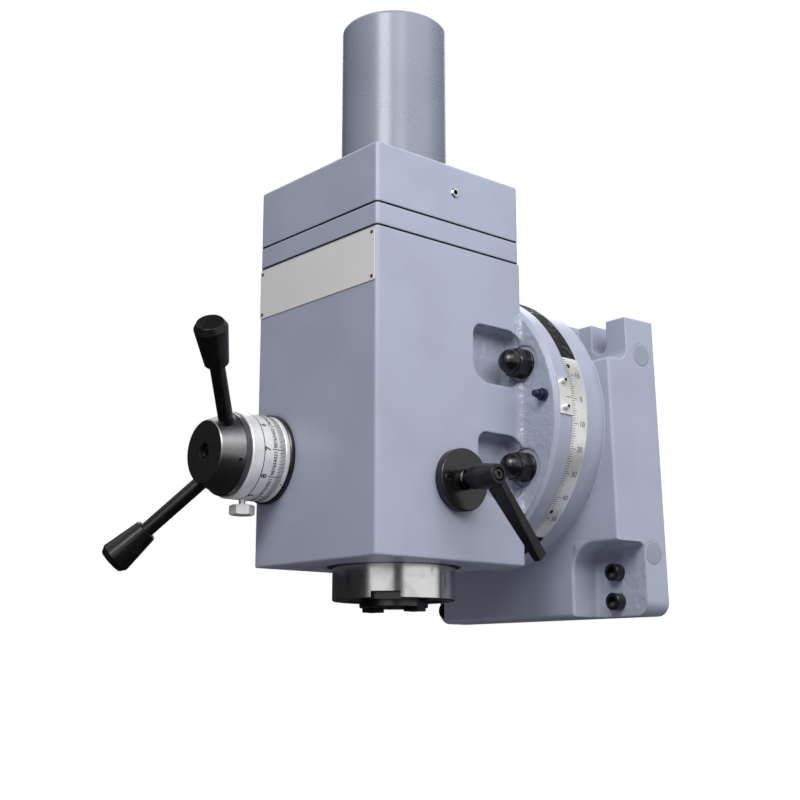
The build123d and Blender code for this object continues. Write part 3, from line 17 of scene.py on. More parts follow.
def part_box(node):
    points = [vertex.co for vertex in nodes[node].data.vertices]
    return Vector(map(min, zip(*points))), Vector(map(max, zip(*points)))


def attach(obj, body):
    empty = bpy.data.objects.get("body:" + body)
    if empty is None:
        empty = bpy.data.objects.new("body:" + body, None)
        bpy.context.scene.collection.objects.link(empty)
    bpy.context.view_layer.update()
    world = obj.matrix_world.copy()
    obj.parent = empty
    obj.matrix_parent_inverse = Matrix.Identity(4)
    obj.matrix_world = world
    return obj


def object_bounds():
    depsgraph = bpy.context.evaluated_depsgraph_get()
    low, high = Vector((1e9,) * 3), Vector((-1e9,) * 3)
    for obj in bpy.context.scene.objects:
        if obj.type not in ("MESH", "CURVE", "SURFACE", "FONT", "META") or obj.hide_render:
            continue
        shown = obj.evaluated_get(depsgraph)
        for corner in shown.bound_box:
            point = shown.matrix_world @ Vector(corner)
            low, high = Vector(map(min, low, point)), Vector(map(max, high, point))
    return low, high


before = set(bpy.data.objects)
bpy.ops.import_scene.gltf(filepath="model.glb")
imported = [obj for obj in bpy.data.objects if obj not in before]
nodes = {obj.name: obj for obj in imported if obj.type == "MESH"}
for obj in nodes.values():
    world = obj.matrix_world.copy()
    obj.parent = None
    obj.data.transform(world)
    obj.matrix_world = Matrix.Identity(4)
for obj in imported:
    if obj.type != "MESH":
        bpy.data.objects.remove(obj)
cad_low, cad_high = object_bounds()
MM = 0.001
print("solids:", len(nodes), "box in mm:", [round(side / MM) for side in cad_high - cad_low])

# %% [markdown]
# ## The camera
#
# The photographer stood to the right of the head and below it, and looked up, so the uprights lean
# together a little towards the top. Such a view is set by a place, a turn, a tilt and a lens. The
# direction is worked out from the two angles, because angles are easier to read than a quaternion.

# %% Camera
CAMERA_PLACE = Vector((1.00826, -1.09258, -0.26269))
CAMERA_TURN = math.radians(49.21)
CAMERA_TILT = math.radians(12.055)
CAMERA_LENS = 58.35
SENSOR_WIDTH = 36.0
SIGHT_REACH = 90.0


def heading(turn, tilt):
    """Unit vector away from the viewer: turn 0 looks along +Y, tilt is upwards."""
    level = math.cos(tilt)
    return Vector((-math.sin(turn) * level, math.cos(turn) * level, math.sin(tilt)))


camera = bpy.data.objects.new("camera", bpy.data.cameras.new("camera"))
camera.data.lens = CAMERA_LENS
camera.data.sensor_width = SENSOR_WIDTH
camera.data.clip_end = SIGHT_REACH
camera.location = CAMERA_PLACE
camera.rotation_mode = "QUATERNION"
camera.rotation_quaternion = heading(CAMERA_TURN, CAMERA_TILT).to_track_quat("-Z", "Y")
bpy.context.collection.objects.link(camera)
bpy.context.scene.camera = camera
bpy.context.scene.view_settings.view_transform = "Standard"
print("camera at", [round(value, 3) for value in CAMERA_PLACE])

# %% [markdown]
# ## Shader sums written as Python
#
# A finish is a graph of small nodes, and sums make up most of it. Wiring each sum by hand is slow to
# read, so a small class wraps an output socket and turns `1 - mask` or `noise * 0.2` into Math nodes.
# A second class holds one graph and makes every other kind of node with a single method.


# %% Wire and Graph
class Wire:
    """An output of a shader graph that can be used in sums like a number."""

    def __init__(self, graph, socket):
        self.graph = graph
        self.socket = socket

    def math(self, operation, *values):
        return self.graph.add("ShaderNodeMath", {"operation": operation}, dict(enumerate(values)))

    def __add__(self, other):
        return self.math("ADD", self, other)

    def __radd__(self, other):
        return self.math("ADD", other, self)

    def __sub__(self, other):
        return self.math("SUBTRACT", self, other)

    def __rsub__(self, other):
        return self.math("SUBTRACT", other, self)

    def __mul__(self, other):
        return self.math("MULTIPLY", self, other)

    def __rmul__(self, other):
        return self.math("MULTIPLY", other, self)

    def __truediv__(self, other):
        return self.math("DIVIDE", self, other)

    def __pow__(self, power):
        return self.math("POWER", self, power)

    def __abs__(self):
        return self.math("ABSOLUTE", self)


class Graph:
    """A node tree whose nodes all come from add()."""

    def __init__(self, tree):
        self.tree = tree

    def add(self, kind, settings=None, sockets=None, output=0):
        """Makes a node, sets it up, fills its sockets and returns one of its outputs."""
        node = self.tree.nodes.new(kind)
        for name, value in (settings or {}).items():
            setattr(node, name, value)
        for socket, value in (sockets or {}).items():
            self.plug(node.inputs[socket], value)
        return Wire(self, node.outputs[output])

    def plug(self, socket, value):
        """Links a wire to a socket, or writes a plain value on it."""
        if isinstance(value, Wire):
            self.tree.links.new(value.socket, socket)
        else:
            socket.default_value = value

    def ease(self, value, low, high):
        """0 below low and 1 above high, with a smooth step between them."""
        return self.add(
            "ShaderNodeMapRange", {"interpolation_type": "SMOOTHSTEP"}, {0: value, 1: low, 2: high}
        )

    def blend(self, mask, first, second):
        """The first colour where the mask is 0 and the second where it is 1."""
        return self.add("ShaderNodeMix", {"data_type": "RGBA"}, {0: mask, 6: first, 7: second}, output=2)


print("ready: Wire and Graph")

# %% [markdown]
# ## The studio
#
# The picture has a pure white surround, while the paint itself is lit gently by soft lamps. The
# white is seen only by camera rays and by reflections, and the light that falls on the object comes
# from lamps and a much dimmer sky. That way a colour renders about as it is written.

# %% White surround
SKY_STRENGTH = 0.20
PAPER_WHITE = (1.0, 1.0, 1.0, 1.0)


def seen_directly(graph):
    """1 for a ray from the camera, a mirror or a lens, and 0 for light that spreads in the room."""
    outputs = ("Is Camera Ray", "Is Glossy Ray", "Is Transmission Ray")
    camera_ray, glossy_ray, clear_ray = [
        graph.add("ShaderNodeLightPath", output=name) for name in outputs
    ]
    return camera_ray.math("MAXIMUM", camera_ray.math("MAXIMUM", camera_ray, glossy_ray), clear_ray)


world = bpy.data.worlds.new("studio")
world.use_nodes = True
bpy.context.scene.world = world
sky = Graph(world.node_tree)
sky_light = sky.add("ShaderNodeBackground", sockets={"Color": PAPER_WHITE, "Strength": SKY_STRENGTH})
sky_seen = sky.add("ShaderNodeBackground", sockets={"Color": PAPER_WHITE, "Strength": 1.0})
sky_mix = sky.add("ShaderNodeMixShader", sockets={0: seen_directly(sky), 1: sky_light, 2: sky_seen})
sky.plug(world.node_tree.nodes["World Output"].inputs["Surface"], sky_mix)
print("sky light", SKY_STRENGTH)

# %% [markdown]
# The floor lies well below the unit, which hangs from its ram and touches nothing. It glows a little
# for the camera, more so far away, where the lamps no longer reach it, so that it meets the white
# surround without a line. The rest of its brightness is reflected light, which keeps the shadow. To
# the paint it looks darker than it is, as the shaded shop floor under a machine does.

# %% Floor
FLOOR_DROP = 0.45
FLOOR_REACH = 40.0
NEAR_GLOW = (0.70, 0.70, 0.70, 1.0)
GLOW_STARTS = 1.2
GLOW_FULL = 3.5
PAPER_DIM = (0.34, 0.34, 0.37, 1.0)
PAPER_PALE = (0.40, 0.40, 0.40, 1.0)
floor_height = cad_low.z - FLOOR_DROP


def stage_piece(name, shape, material):
    """Turns a bmesh into a piece of the studio, which isn't part of the object."""
    mesh = bpy.data.meshes.new(name)
    shape.to_mesh(mesh)
    shape.free()
    made = bpy.data.objects.new(name, mesh)
    made.data.materials.append(material)
    bpy.context.collection.objects.link(made)
    return made


def floor_paper():
    """Pale paper for the eye, and a dimmer one for the light that it throws back."""
    paper = bpy.data.materials.new("floor_paper")
    paper.use_nodes = True
    graph = Graph(paper.node_tree)
    place = graph.add("ShaderNodeTexCoord", output="Object")
    from_middle = graph.add("ShaderNodeVectorMath", {"operation": "LENGTH"}, {0: place}, output="Value")
    glow_colour = graph.blend(graph.ease(from_middle, GLOW_STARTS, GLOW_FULL), NEAR_GLOW, PAPER_WHITE)
    dim = graph.add("ShaderNodeBsdfDiffuse", sockets={"Color": PAPER_DIM})
    pale = graph.add("ShaderNodeBsdfDiffuse", sockets={"Color": PAPER_PALE})
    glow = graph.add("ShaderNodeEmission", sockets={"Color": glow_colour, "Strength": 1.0})
    lit_paper = graph.add("ShaderNodeAddShader", sockets={0: pale, 1: glow})
    look = graph.add("ShaderNodeMixShader", sockets={0: seen_directly(graph), 1: dim, 2: lit_paper})
    graph.plug(paper.node_tree.nodes["Material Output"].inputs["Surface"], look)
    return paper


floor_shape = bmesh.new()
floor_level = Matrix.Translation((0, 0, floor_height))
bmesh.ops.create_grid(floor_shape, x_segments=1, y_segments=1, size=FLOOR_REACH, matrix=floor_level)
stage_piece("floor", floor_shape, floor_paper())
print("floor at", round(floor_height, 3), "m")

# %% [markdown]
# The shading of the plain round cover at the top tells where the lamps stood: a narrow highlight
# left of its middle, a weaker one beside it, and a broad even light on its right. So a bright box
# stands to the left of the camera and a small one close to it. The large one to the right is hidden
# from mirrors, because that light came off a wide wall. A weak one behind lights the rear.

# %% Lamps
STUDIO_CENTRE = Vector((0.0, -0.2, 0.1))


def soft_box(name, turn, rise, distance, size, watts):
    """Rectangular lamp aimed at the studio's centre; turn and rise are seen from there."""
    lamp = bpy.data.lights.new(name, "AREA")
    lamp.shape = "RECTANGLE"
    lamp.size, lamp.size_y = size
    lamp.energy = watts
    stand = bpy.data.objects.new(name, lamp)
    outward = -heading(math.radians(turn), -math.radians(rise))
    stand.location = STUDIO_CENTRE + outward * distance
    stand.rotation_mode = "QUATERNION"
    stand.rotation_quaternion = (-outward).to_track_quat("-Z", "Y")
    bpy.context.collection.objects.link(stand)
    return stand


soft_box("left_box", turn=28, rise=30, distance=2.2, size=(0.80, 1.0), watts=29)
soft_box("front_box", turn=62, rise=30, distance=2.2, size=(0.70, 0.9), watts=8)
right_box = soft_box("right_box", turn=96, rise=36, distance=2.2, size=(2.2, 1.8), watts=46)
right_box.visible_glossy = False
soft_box("rear_fill", turn=225, rise=40, distance=2.6, size=(2.0, 2.0), watts=22)

# %% [markdown]
# Polished steel shows only what stands round it, and in an all-white room it looks like milk. A
# photographer hangs black drapes between the lamps, so that steel gets dark bands and black parts
# stay black. The drapes here are seen only in reflections. Each is an upright edge, spun part of the
# way round the studio, and rounds of the same cloth lie under the unit and hang over it.

# %% Black drapes
DRAPE_REACH = 3.4
MAT_REACH = 3.4
CLOTH_BLACK = (0.004, 0.004, 0.004, 1.0)
CLOTH_GLOW = (0.024, 0.024, 0.026, 1.0)
DRAPE_STEPS = 24
DISC_SEGMENTS = 48
MAT_LIFT = 0.004
ROOF_HEIGHT = 3.2
ROOF_REACH = 1.6


def drape_cloth():
    """Black cloth that gives hardly anything back."""
    cloth = bpy.data.materials.new("drape_cloth")
    cloth.use_nodes = True
    shader = cloth.node_tree.nodes["Principled BSDF"]
    shader.inputs["Base Color"].default_value = CLOTH_BLACK
    shader.inputs["Specular IOR Level"].default_value = 0.0
    shader.inputs["Emission Color"].default_value = CLOTH_GLOW
    shader.inputs["Emission Strength"].default_value = 1.0
    return cloth


def only_in_mirrors(piece):
    """Hides a piece of the studio from all but reflections."""
    piece.visible_camera = False
    piece.visible_diffuse = False
    piece.visible_shadow = False
    piece.visible_transmission = False


def drape(name, start, end, height):
    """A curved drape between two turns round the studio, from the floor up to a height."""
    foot = -heading(math.radians(start), 0.0) * DRAPE_REACH
    shape = bmesh.new()
    low = shape.verts.new((STUDIO_CENTRE.x + foot.x, STUDIO_CENTRE.y + foot.y, floor_height))
    high = shape.verts.new((low.co.x, low.co.y, height))
    upright = shape.edges.new((low, high))
    bmesh.ops.spin(
        shape, geom=[low, high, upright], cent=STUDIO_CENTRE, axis=(0, 0, 1),
        angle=math.radians(end - start), steps=DRAPE_STEPS,
    )
    only_in_mirrors(stage_piece(name, shape, cloth))


def disc(name, height, reach):
    """A level round of the same cloth, over or under the unit."""
    shape = bmesh.new()
    level = Matrix.Translation((STUDIO_CENTRE.x, STUDIO_CENTRE.y, height))
    bmesh.ops.create_circle(shape, cap_ends=True, segments=DISC_SEGMENTS, radius=reach, matrix=level)
    only_in_mirrors(stage_piece(name, shape, cloth))


cloth = drape_cloth()
drape("left_drape", start=-135, end=4, height=2.6)
drape("camera_drape", start=48, end=66, height=0.9)
drape("right_drape", start=139, end=200, height=2.6)
drape("rear_drape", start=200, end=290, height=-0.2)
disc("black_mat", floor_height + MAT_LIFT, MAT_REACH)
disc("roof_drape", ROOF_HEIGHT, ROOF_REACH)

# %% [markdown]
# ## A base for every finish
#
# All finishes here share a few steps: read the place on the object, make noise of some grain size,
# soften the edges and raise a bump. They are methods of one class, so that each finish is then a
# short recipe. Sizes are given in millimetres, which is how a machinist thinks of a surface.


# %% Finish
def rgb(red, green, blue):
    """A colour for a shader socket."""
    return (red, green, blue, 1.0)


def toned(colour, factor):
    """The same colour, darker or paler."""
    return rgb(*[min(1.0, channel * factor) for channel in colour[:3]])


class Finish(Graph):
    """A material whose surface detail is worked out from the place on the object."""

    def __init__(self, name):
        self.material = bpy.data.materials.new(name)
        self.material.use_nodes = True
        super().__init__(self.material.node_tree)
        self.shader = self.tree.nodes["Principled BSDF"]
        self.place = self.add("ShaderNodeTexCoord", output="Object")
        self.x, self.y, self.z = [
            self.add("ShaderNodeSeparateXYZ", sockets={0: self.place}, output=axis) / MM for axis in "XYZ"
        ]
        self.normal = None

    def noise(self, grain, detail=2.0, stretch=(1, 1, 1), place=None):
        """Soft noise from 0 to 1 with lumps about grain millimetres across."""
        spread = self.add(
            "ShaderNodeVectorMath",
            {"operation": "MULTIPLY"},
            {0: place or self.place, 1: [1 / (grain * MM * axis) for axis in stretch]},
        )
        return self.add("ShaderNodeTexNoise", sockets={"Vector": spread, "Scale": 1.0, "Detail": detail})

    def between(self, value, low, high, soft):
        """1 from low to high and 0 outside, with soft millimetres of change."""
        return self.ease(value, low - soft, low + soft) * (1 - self.ease(value, high - soft, high + soft))

    def soften(self, radius):
        """Rounds the shading of sharp edges, as thick paint does, and returns a mask of those edges."""
        self.normal = self.add("ShaderNodeBevel", {"samples": 6}, {"Radius": radius * MM})
        flat = self.add("ShaderNodeNewGeometry", output="Normal")
        same = self.add(
            "ShaderNodeVectorMath", {"operation": "DOT_PRODUCT"}, {0: self.normal, 1: flat}, output="Value"
        )
        return self.ease(1 - same, 0.02, 0.25)

    def raise_by(self, height, depth):
        """Adds a bump of up to depth millimetres."""
        sockets = {"Height": height, "Distance": depth * MM, "Strength": 1.0}
        if self.normal:
            sockets["Normal"] = self.normal
        self.normal = self.add("ShaderNodeBump", sockets=sockets)

    def done(self, **sockets):
        """Fills the shader's sockets; base_color stands for Base Color."""
        for name, value in sockets.items():
            self.plug(self.shader.inputs[name.replace("_", " ").title().replace("Ior", "IOR")], value)
        if self.normal:
            self.plug(self.shader.inputs["Normal"], self.normal)
        return self.material


finishes = {}
print("ready: Finish")

# %% [markdown]
# ## Machine enamel
#
# The castings and covers carry a blue-grey machine enamel over filler. From close by it has a fine
# orange peel, from further off the filler rolls in slow waves, and where the casting was left as it
# came from the sand, in the nut pockets and on the flange, the skin is lumpy and glints. One recipe
# serves all of them: it takes a mask of where the rough skin is, and a mask of what was left black.

# %% Enamel
ENAMEL = rgb(0.335, 0.360, 0.452)
ENAMEL_SPECULAR = 0.45
# Paler colour for edges: a painted highlight, not a paint of its own.
EDGE_HIGHLIGHT = rgb(0.66, 0.69, 0.78)
EDGE_HIGHLIGHT_SHARE = 0.6
GROOVE_BLACK = rgb(0.006, 0.006, 0.0065)
PEEL_GRAIN = 2.2
EDGE_ROUNDING = 2.2
WAVE_GRAIN = 24


def enamel(name, tone=1.0, sheen=0.33, rough_skin=None, bare_black=None, waves=0.05, peel_depth=0.022):
    """Blue-grey enamel; rough_skin and bare_black are functions from the finish to a mask."""
    paint = Finish(name)
    peel = paint.noise(PEEL_GRAIN, detail=1.0)
    drift = paint.noise(70, detail=3.0)
    edges = paint.soften(EDGE_ROUNDING)
    paint.raise_by(peel, peel_depth)
    paint.raise_by(paint.noise(WAVE_GRAIN, detail=1.0), waves)
    colour = paint.blend(paint.ease(drift, 0.35, 0.7), toned(ENAMEL, tone), toned(ENAMEL, tone * 0.92))
    # Painted highlight: the edges get a paler colour, as if their rounded paint caught the lamps.
    colour = paint.blend(edges * EDGE_HIGHLIGHT_SHARE, colour, EDGE_HIGHLIGHT)
    roughness = sheen + 0.10 * (drift - 0.5) + 0.06 * (peel - 0.5)
    if rough_skin:
        skin = rough_skin(paint)
        lumps = paint.noise(10, detail=3.0)
        paint.raise_by(lumps * skin, 2.0)
        paint.raise_by(paint.noise(3.0, detail=2.0) * skin, 0.25)
        colour = paint.blend(skin * paint.ease(lumps, 0.5, 0.75) * 0.5, colour, toned(ENAMEL, tone * 0.85))
        roughness = roughness - 0.18 * skin
    if bare_black:
        black = bare_black(paint)
        wet_spots = paint.ease(paint.noise(7.0, detail=2.0), 0.54, 0.64)
        colour = paint.blend(black, colour, GROOVE_BLACK)
        roughness = roughness + black * (0.55 - 0.45 * wet_spots)
    return paint.done(base_color=colour, roughness=roughness, specular_ior_level=ENAMEL_SPECULAR)


print("enamel:", [round(channel, 3) for channel in ENAMEL[:3]])

# %% [markdown]
# A mask is a sum on the place. The nut pockets lie inside the milled sides of the head and the
# flange lies outside them, so both are found by leaving out the sides themselves. The hollows beside
# the bracket's foot are as cast too, and the groove for the degree scale was never painted.

# %% Where the castings are rough
HEAD_SIDE = 97.5
POCKET_FRONT = -212.0
FLANGE_RIM = 145.5
SCALE_GROOVE = (-121.0, -98.0)
GROOVE_FLOOR = 148.2
FOOT_TOP = -126.0
FOOT_INNER = 98.6
FOOT_FRONT = -32.4


def from_swivel_axis(paint):
    """Distance from the axis that the head swivels about."""
    return (paint.x * paint.x + paint.z * paint.z) ** 0.5


def head_skin(paint):
    """Nut pockets and the flange's front, apart from the milled sides and the turned rim."""
    off_side = 1 - paint.between(abs(paint.x), HEAD_SIDE - 0.5, HEAD_SIDE + 0.5, 0.2)
    behind = paint.ease(paint.y, POCKET_FRONT, POCKET_FRONT + 4)
    return off_side * behind * (1 - paint.ease(from_swivel_axis(paint), FLANGE_RIM - 2, FLANGE_RIM))


def bracket_skin(paint):
    """The hollows beside the bracket's foot, left as cast."""
    outside = paint.ease(abs(paint.x), FOOT_INNER, FOOT_INNER + 6)
    in_front = 1 - paint.ease(paint.y, FOOT_FRONT, FOOT_FRONT + 0.4)
    return outside * in_front * (1 - paint.ease(paint.z, FOOT_TOP - 4, FOOT_TOP + 2))


def scale_groove(paint):
    """The bottom of the turned groove that takes the degree scale."""
    floor_of_groove = paint.between(from_swivel_axis(paint), GROOVE_FLOOR - 2.0, GROOVE_FLOOR, 0.05)
    return floor_of_groove * paint.between(paint.y, *SCALE_GROOVE, 0.05)


finishes["head_body"] = enamel("enamel_head", rough_skin=head_skin, waves=0.03)
finishes["ram_bracket"] = enamel(
    "enamel_bracket", rough_skin=bracket_skin, bare_black=scale_groove, waves=0.12
)
# The round cover gets a darker copy of the enamel as painted shade, darker than the lamps alone make it.
finishes["drawbar_cover"] = enamel(
    "enamel_tube_painted_shade", tone=0.64, sheen=0.27, waves=0.015, peel_depth=0.008
)
# The plugs get a darker copy of the enamel as painted shade, for the shade in their shallow recesses.
finishes["cast_plugs"] = enamel("enamel_plugs_painted_shade", tone=0.80, sheen=0.40)
for name in ("spacer_plate", "top_cover"):
    finishes[name] = enamel("enamel_" + name, waves=0.02)
print("enamelled:", sorted(finishes))

# %% [markdown]
# ## Black pieces
#
# Screws, nuts and the quill lock are blackened steel, the crossed handle is black lacquer with a
# soft sheen, and its grips are moulded plastic. All are nearly black, so what tells them apart is
# how sharp their highlights are: they differ in sheen, gloss and the grain of the bump.

# %% Blackened steel, lacquer and plastic


def black_finish(name, colour, sheen, grain, depth, gloss):
    """Near-black surface with a mottled sheen; gloss is the strength of its reflections."""
    black = Finish(name)
    mottle = black.noise(grain * 9, detail=3.0)
    black.raise_by(black.noise(grain, detail=2.0), depth)
    return black.done(
        base_color=black.blend(black.ease(mottle, 0.4, 0.75), colour, toned(colour, 1.9)),
        roughness=sheen + 0.12 * (mottle - 0.5),
        specular_ior_level=gloss,
    )


black_steel = black_finish("blackened_steel", rgb(0.005, 0.005, 0.0055), 0.24, 0.7, 0.010, 0.55)
black_lacquer = black_finish("handle_lacquer", rgb(0.004, 0.004, 0.0045), 0.26, 1.1, 0.005, 0.45)
lever_coat = black_finish("lever_coat", rgb(0.007, 0.007, 0.008), 0.38, 0.9, 0.02, 0.35)
black_plastic = black_finish("grip_plastic", rgb(0.005, 0.005, 0.005), 0.24, 1.8, 0.008, 0.35)
blacks = {
    black_steel: (
        "bracket_screws", "clamp_nuts", "clamp_washers", "clamp_t_bolts", "lock_flange",
        "lock_flange_screws", "hub_screw", "hub_set_screw", "lock_stud", "lever_screw",
        "feed_shaft_bush", "name_plate_rivets", "scale_rivets",
    ),
    black_lacquer: ("handle_arms",),
    lever_coat: ("lock_lever",),
    black_plastic: ("handle_knobs",),
}
for black, names in blacks.items():
    for name in names:
        finishes[name] = black
print("black finishes:", [black.name for black in blacks])

# %% [markdown]
# ## Turned and ground steel
#
# A lathe leaves fine rings round its axis. On a face they are circles and on a cylinder they are
# bands, and both come from noise that is drawn out round the axis: it is read at the radius and the
# height only, with hardly any change round the turn.

# %% Steel
SPINDLE_CENTRE = (0.0, -231.0)
FEED_CENTRE = (-74.5, -45.0)
SWIVEL_CENTRE = (0.0, 0.0)
THUMB_CENTRE = (-74.5, -367.5)
LOCK_CENTRE = (-231.0, -75.5)
COVER_SCREW_CENTRE = (-233.5, 220.7)
# Dark colour painted into recesses as painted shade: sockets, a fine groove and the quill's notch.
RECESS_SHADE = rgb(0.05, 0.05, 0.052)


def turned_metal(
    name, colour, sheen, axis, centre, ring=0.35, depth=0.002, ripple=0.0, metallic=1.0, shade_within=0.0,
    groove=None
):
    """Metal with lathe rings about an axis; ripple bends reflections, and a core or a groove may get painted
    shade.
    """
    metal = Finish(name)
    along = {"X": metal.x, "Y": metal.y, "Z": metal.z}[axis]
    across = (metal.y if axis == "X" else metal.x) - centre[0]
    other = (metal.y if axis == "Z" else metal.z) - centre[1]
    radius = (across * across + other * other) ** 0.5
    lathe_place = metal.add(
        "ShaderNodeCombineXYZ", sockets={0: radius * MM, 1: along * MM, 2: across * (0.02 * MM)}
    )
    rings = metal.noise(ring, detail=2.0, place=lathe_place)
    stain = metal.noise(18, detail=3.0)
    metal.raise_by(rings, depth)
    if ripple:
        metal.raise_by(metal.noise(16, detail=0.5), ripple)
    tint = metal.blend(metal.ease(stain, 0.4, 0.8), colour, toned(colour, 0.8))
    # Painted shade inside a radius, where a socket or a notch would be in shadow.
    if shade_within:
        tint = metal.blend(metal.ease(radius, shade_within - 0.1, shade_within + 0.1), RECESS_SHADE, tint)
    # Painted shade along a fine groove.
    if groove:
        tint = metal.blend(metal.between(along, groove - 0.5, groove + 0.5, 0.1), tint, RECESS_SHADE)
    return metal.done(
        base_color=tint,
        metallic=metallic,
        roughness=sheen + 0.14 * (rings - 0.5) + 0.06 * (stain - 0.5),
    )


# The quill gets painted shade inside its ground radius, in its notch and on its end.
ground_steel = turned_metal(
    "ground_steel", rgb(0.66, 0.66, 0.66), 0.20, "Z", SPINDLE_CENTRE, shade_within=61.8
)
nose_steel = turned_metal("nose_steel", rgb(0.085, 0.085, 0.09), 0.34, "Z", SPINDLE_CENTRE)
inner_steel = turned_metal("inner_steel", rgb(0.42, 0.42, 0.43), 0.30, "Z", SPINDLE_CENTRE)
drive_steel = turned_metal("drive_steel", rgb(0.50, 0.50, 0.51), 0.32, "Y", SWIVEL_CENTRE)
feed_steel = turned_metal("feed_steel", rgb(0.52, 0.52, 0.53), 0.30, "Y", FEED_CENTRE)
# The dial's fine groove gets painted shade.
satin_dial = turned_metal(
    "satin_dial", rgb(0.90, 0.90, 0.89), 0.38, "Y", FEED_CENTRE, ring=0.5, metallic=0.34, groove=-371.5
)
bright_thumb = turned_metal(
    "bright_thumb", rgb(0.90, 0.90, 0.89), 0.26, "Z", THUMB_CENTRE, metallic=0.5
)
dark_bush = turned_metal("dark_bush", rgb(0.10, 0.10, 0.105), 0.24, "X", LOCK_CENTRE)
# The cover screws get painted shade in their sockets.
screw_steel = turned_metal(
    "screw_steel", rgb(0.80, 0.80, 0.79), 0.24, "X", COVER_SCREW_CENTRE, shade_within=2.7
)
scale_steel = turned_metal(
    "scale_steel", rgb(0.86, 0.86, 0.84), 0.24, "Y", SWIVEL_CENTRE, ring=0.6, ripple=0.25, metallic=0.6
)
hub_steel = turned_metal("hub_steel", rgb(0.215, 0.215, 0.22), 0.34, "Y", FEED_CENTRE, ring=0.6)
bearing_bronze = turned_metal("bearing_bronze", rgb(0.62, 0.42, 0.19), 0.34, "Y", SWIVEL_CENTRE)
metals = {
    ground_steel: ("quill",),
    nose_steel: ("spindle", "drive_keys", "key_screws", "quill_bearing_cap"),
    inner_steel: (
        "spindle_lock_nut", "drawbar", "lower_spindle_bearings", "upper_spindle_bearing",
        "sleeve_bearings", "bearing_spacer", "bearing_retainer", "drive_sleeve", "bevel_gear",
        "sleeve_lock_nut",
    ),
    drive_steel: (
        "input_bearings", "input_bearing_cover", "bearing_cover_screws", "input_shaft", "bevel_pinion",
        "drive_coupling",
    ),
    feed_steel: ("feed_pinion_shaft",),
    satin_dial: ("graduated_dial", "dial_index_ring"),
    bright_thumb: ("dial_lock_screw",),
    dark_bush: ("lock_bush",),
    screw_steel: ("cover_screws",),
    scale_steel: ("angle_scale_band", "zero_index_plate"),
    hub_steel: ("handle_hub",),
    bearing_bronze: ("pivot_bush", "rear_feed_bush", "brass_tip"),
}
for metal, names in metals.items():
    for name in names:
        finishes[name] = metal
print("metal finishes:", len(metals))

# %% [markdown]
# ## The name plate, the oil nipple and the wiper
#
# The plate on the front is bare aluminium with a matt print coat, so it is pale and hardly shiny.
# The oil nipple was dipped in dark blue, and the ring that wipes the quill is oiled felt. The two
# screws of the index plate are bright, with painted shade in their sockets.

# %% Small finishes
INDEX_SCREW_TURNS = (1.3, 11.8)
INDEX_SCREW_Y = -131.0
SOCKET_RADIUS = 1.75


def plate_finish():
    """Pale printed aluminium with a faint upright grain."""
    plate = Finish("plate_print")
    grain = plate.noise(0.6, detail=2.0, stretch=(1, 1, 40))
    cloud = plate.noise(60, detail=2.0)
    plate.raise_by(grain, 0.002)
    return plate.done(
        base_color=plate.blend(cloud, rgb(0.60, 0.595, 0.59), rgb(0.66, 0.655, 0.65)),
        roughness=0.42 + 0.1 * (grain - 0.5),
    )


def nipple_finish():
    """Dark blue lacquer with a few rubbed spots."""
    nipple = Finish("nipple_lacquer")
    rub = nipple.noise(3.0, detail=3.0)
    nipple.raise_by(rub, 0.02)
    return nipple.done(
        base_color=nipple.blend(nipple.ease(rub, 0.6, 0.8), rgb(0.010, 0.014, 0.045), rgb(0.05, 0.06, 0.12)),
        roughness=0.28 + 0.15 * (rub - 0.5),
    )


def felt_finish():
    """Oiled felt with short fibres."""
    felt = Finish("oiled_felt")
    fibre = felt.noise(0.5, detail=4.0)
    felt.raise_by(fibre, 0.2)
    return felt.done(
        base_color=felt.blend(fibre, rgb(0.010, 0.010, 0.011), rgb(0.05, 0.05, 0.055)),
        roughness=0.8 + 0.2 * (fibre - 0.5),
    )


def socket_screws():
    """Bright steel, with painted shade inside the socket of each screw on the drum."""
    screws = Finish("index_screws")
    stain = screws.noise(2.0, detail=3.0)
    tint = screws.blend(stain, rgb(0.62, 0.62, 0.61), rgb(0.80, 0.80, 0.79))
    screws.raise_by(stain, 0.01)
    along = screws.y - INDEX_SCREW_Y
    # Painted shade inside each socket.
    for turn in INDEX_SCREW_TURNS:
        sideways = screws.z * math.cos(math.radians(turn)) - screws.x * math.sin(math.radians(turn))
        off_axis = (sideways * sideways + along * along) ** 0.5
        metal = screws.ease(off_axis, SOCKET_RADIUS - 0.1, SOCKET_RADIUS + 0.1)
        tint = screws.blend(metal, RECESS_SHADE, tint)
    return screws.done(base_color=tint, metallic=0.6, roughness=0.24 + 0.1 * (stain - 0.5))


finishes["index_plate_screws"] = socket_screws()
finishes["name_plate"] = plate_finish()
finishes["oil_nipple"] = nipple_finish()
finishes["quill_wiper"] = felt_finish()
print("finishes:", len(finishes))

# %% Put the finishes on the solids
for name, solid in nodes.items():
    solid.data.materials.clear()
    solid.data.materials.append(finishes[name])
print("dressed solids:", len(nodes))

# %% [markdown]
# ## Painted shade in the joints between the covers
#
# The head has two joints above the body: a spacer plate and a top cover. Each joint is a shallow
# rounded groove with a thin black frame in it as painted shade, for the shadow in the groove, which
# shows as a crisp dark line round the head. A box with rounded upright edges gives the frame's
# outline, its flat ends come off, and a wall is raised inwards.

# %% Painted shade in the joints
BEAD_HEIGHT = 2.3
BEAD_DEPTH = 1.5
BEAD_SUNK = 0.25
HEAD_CORNER = 4.0


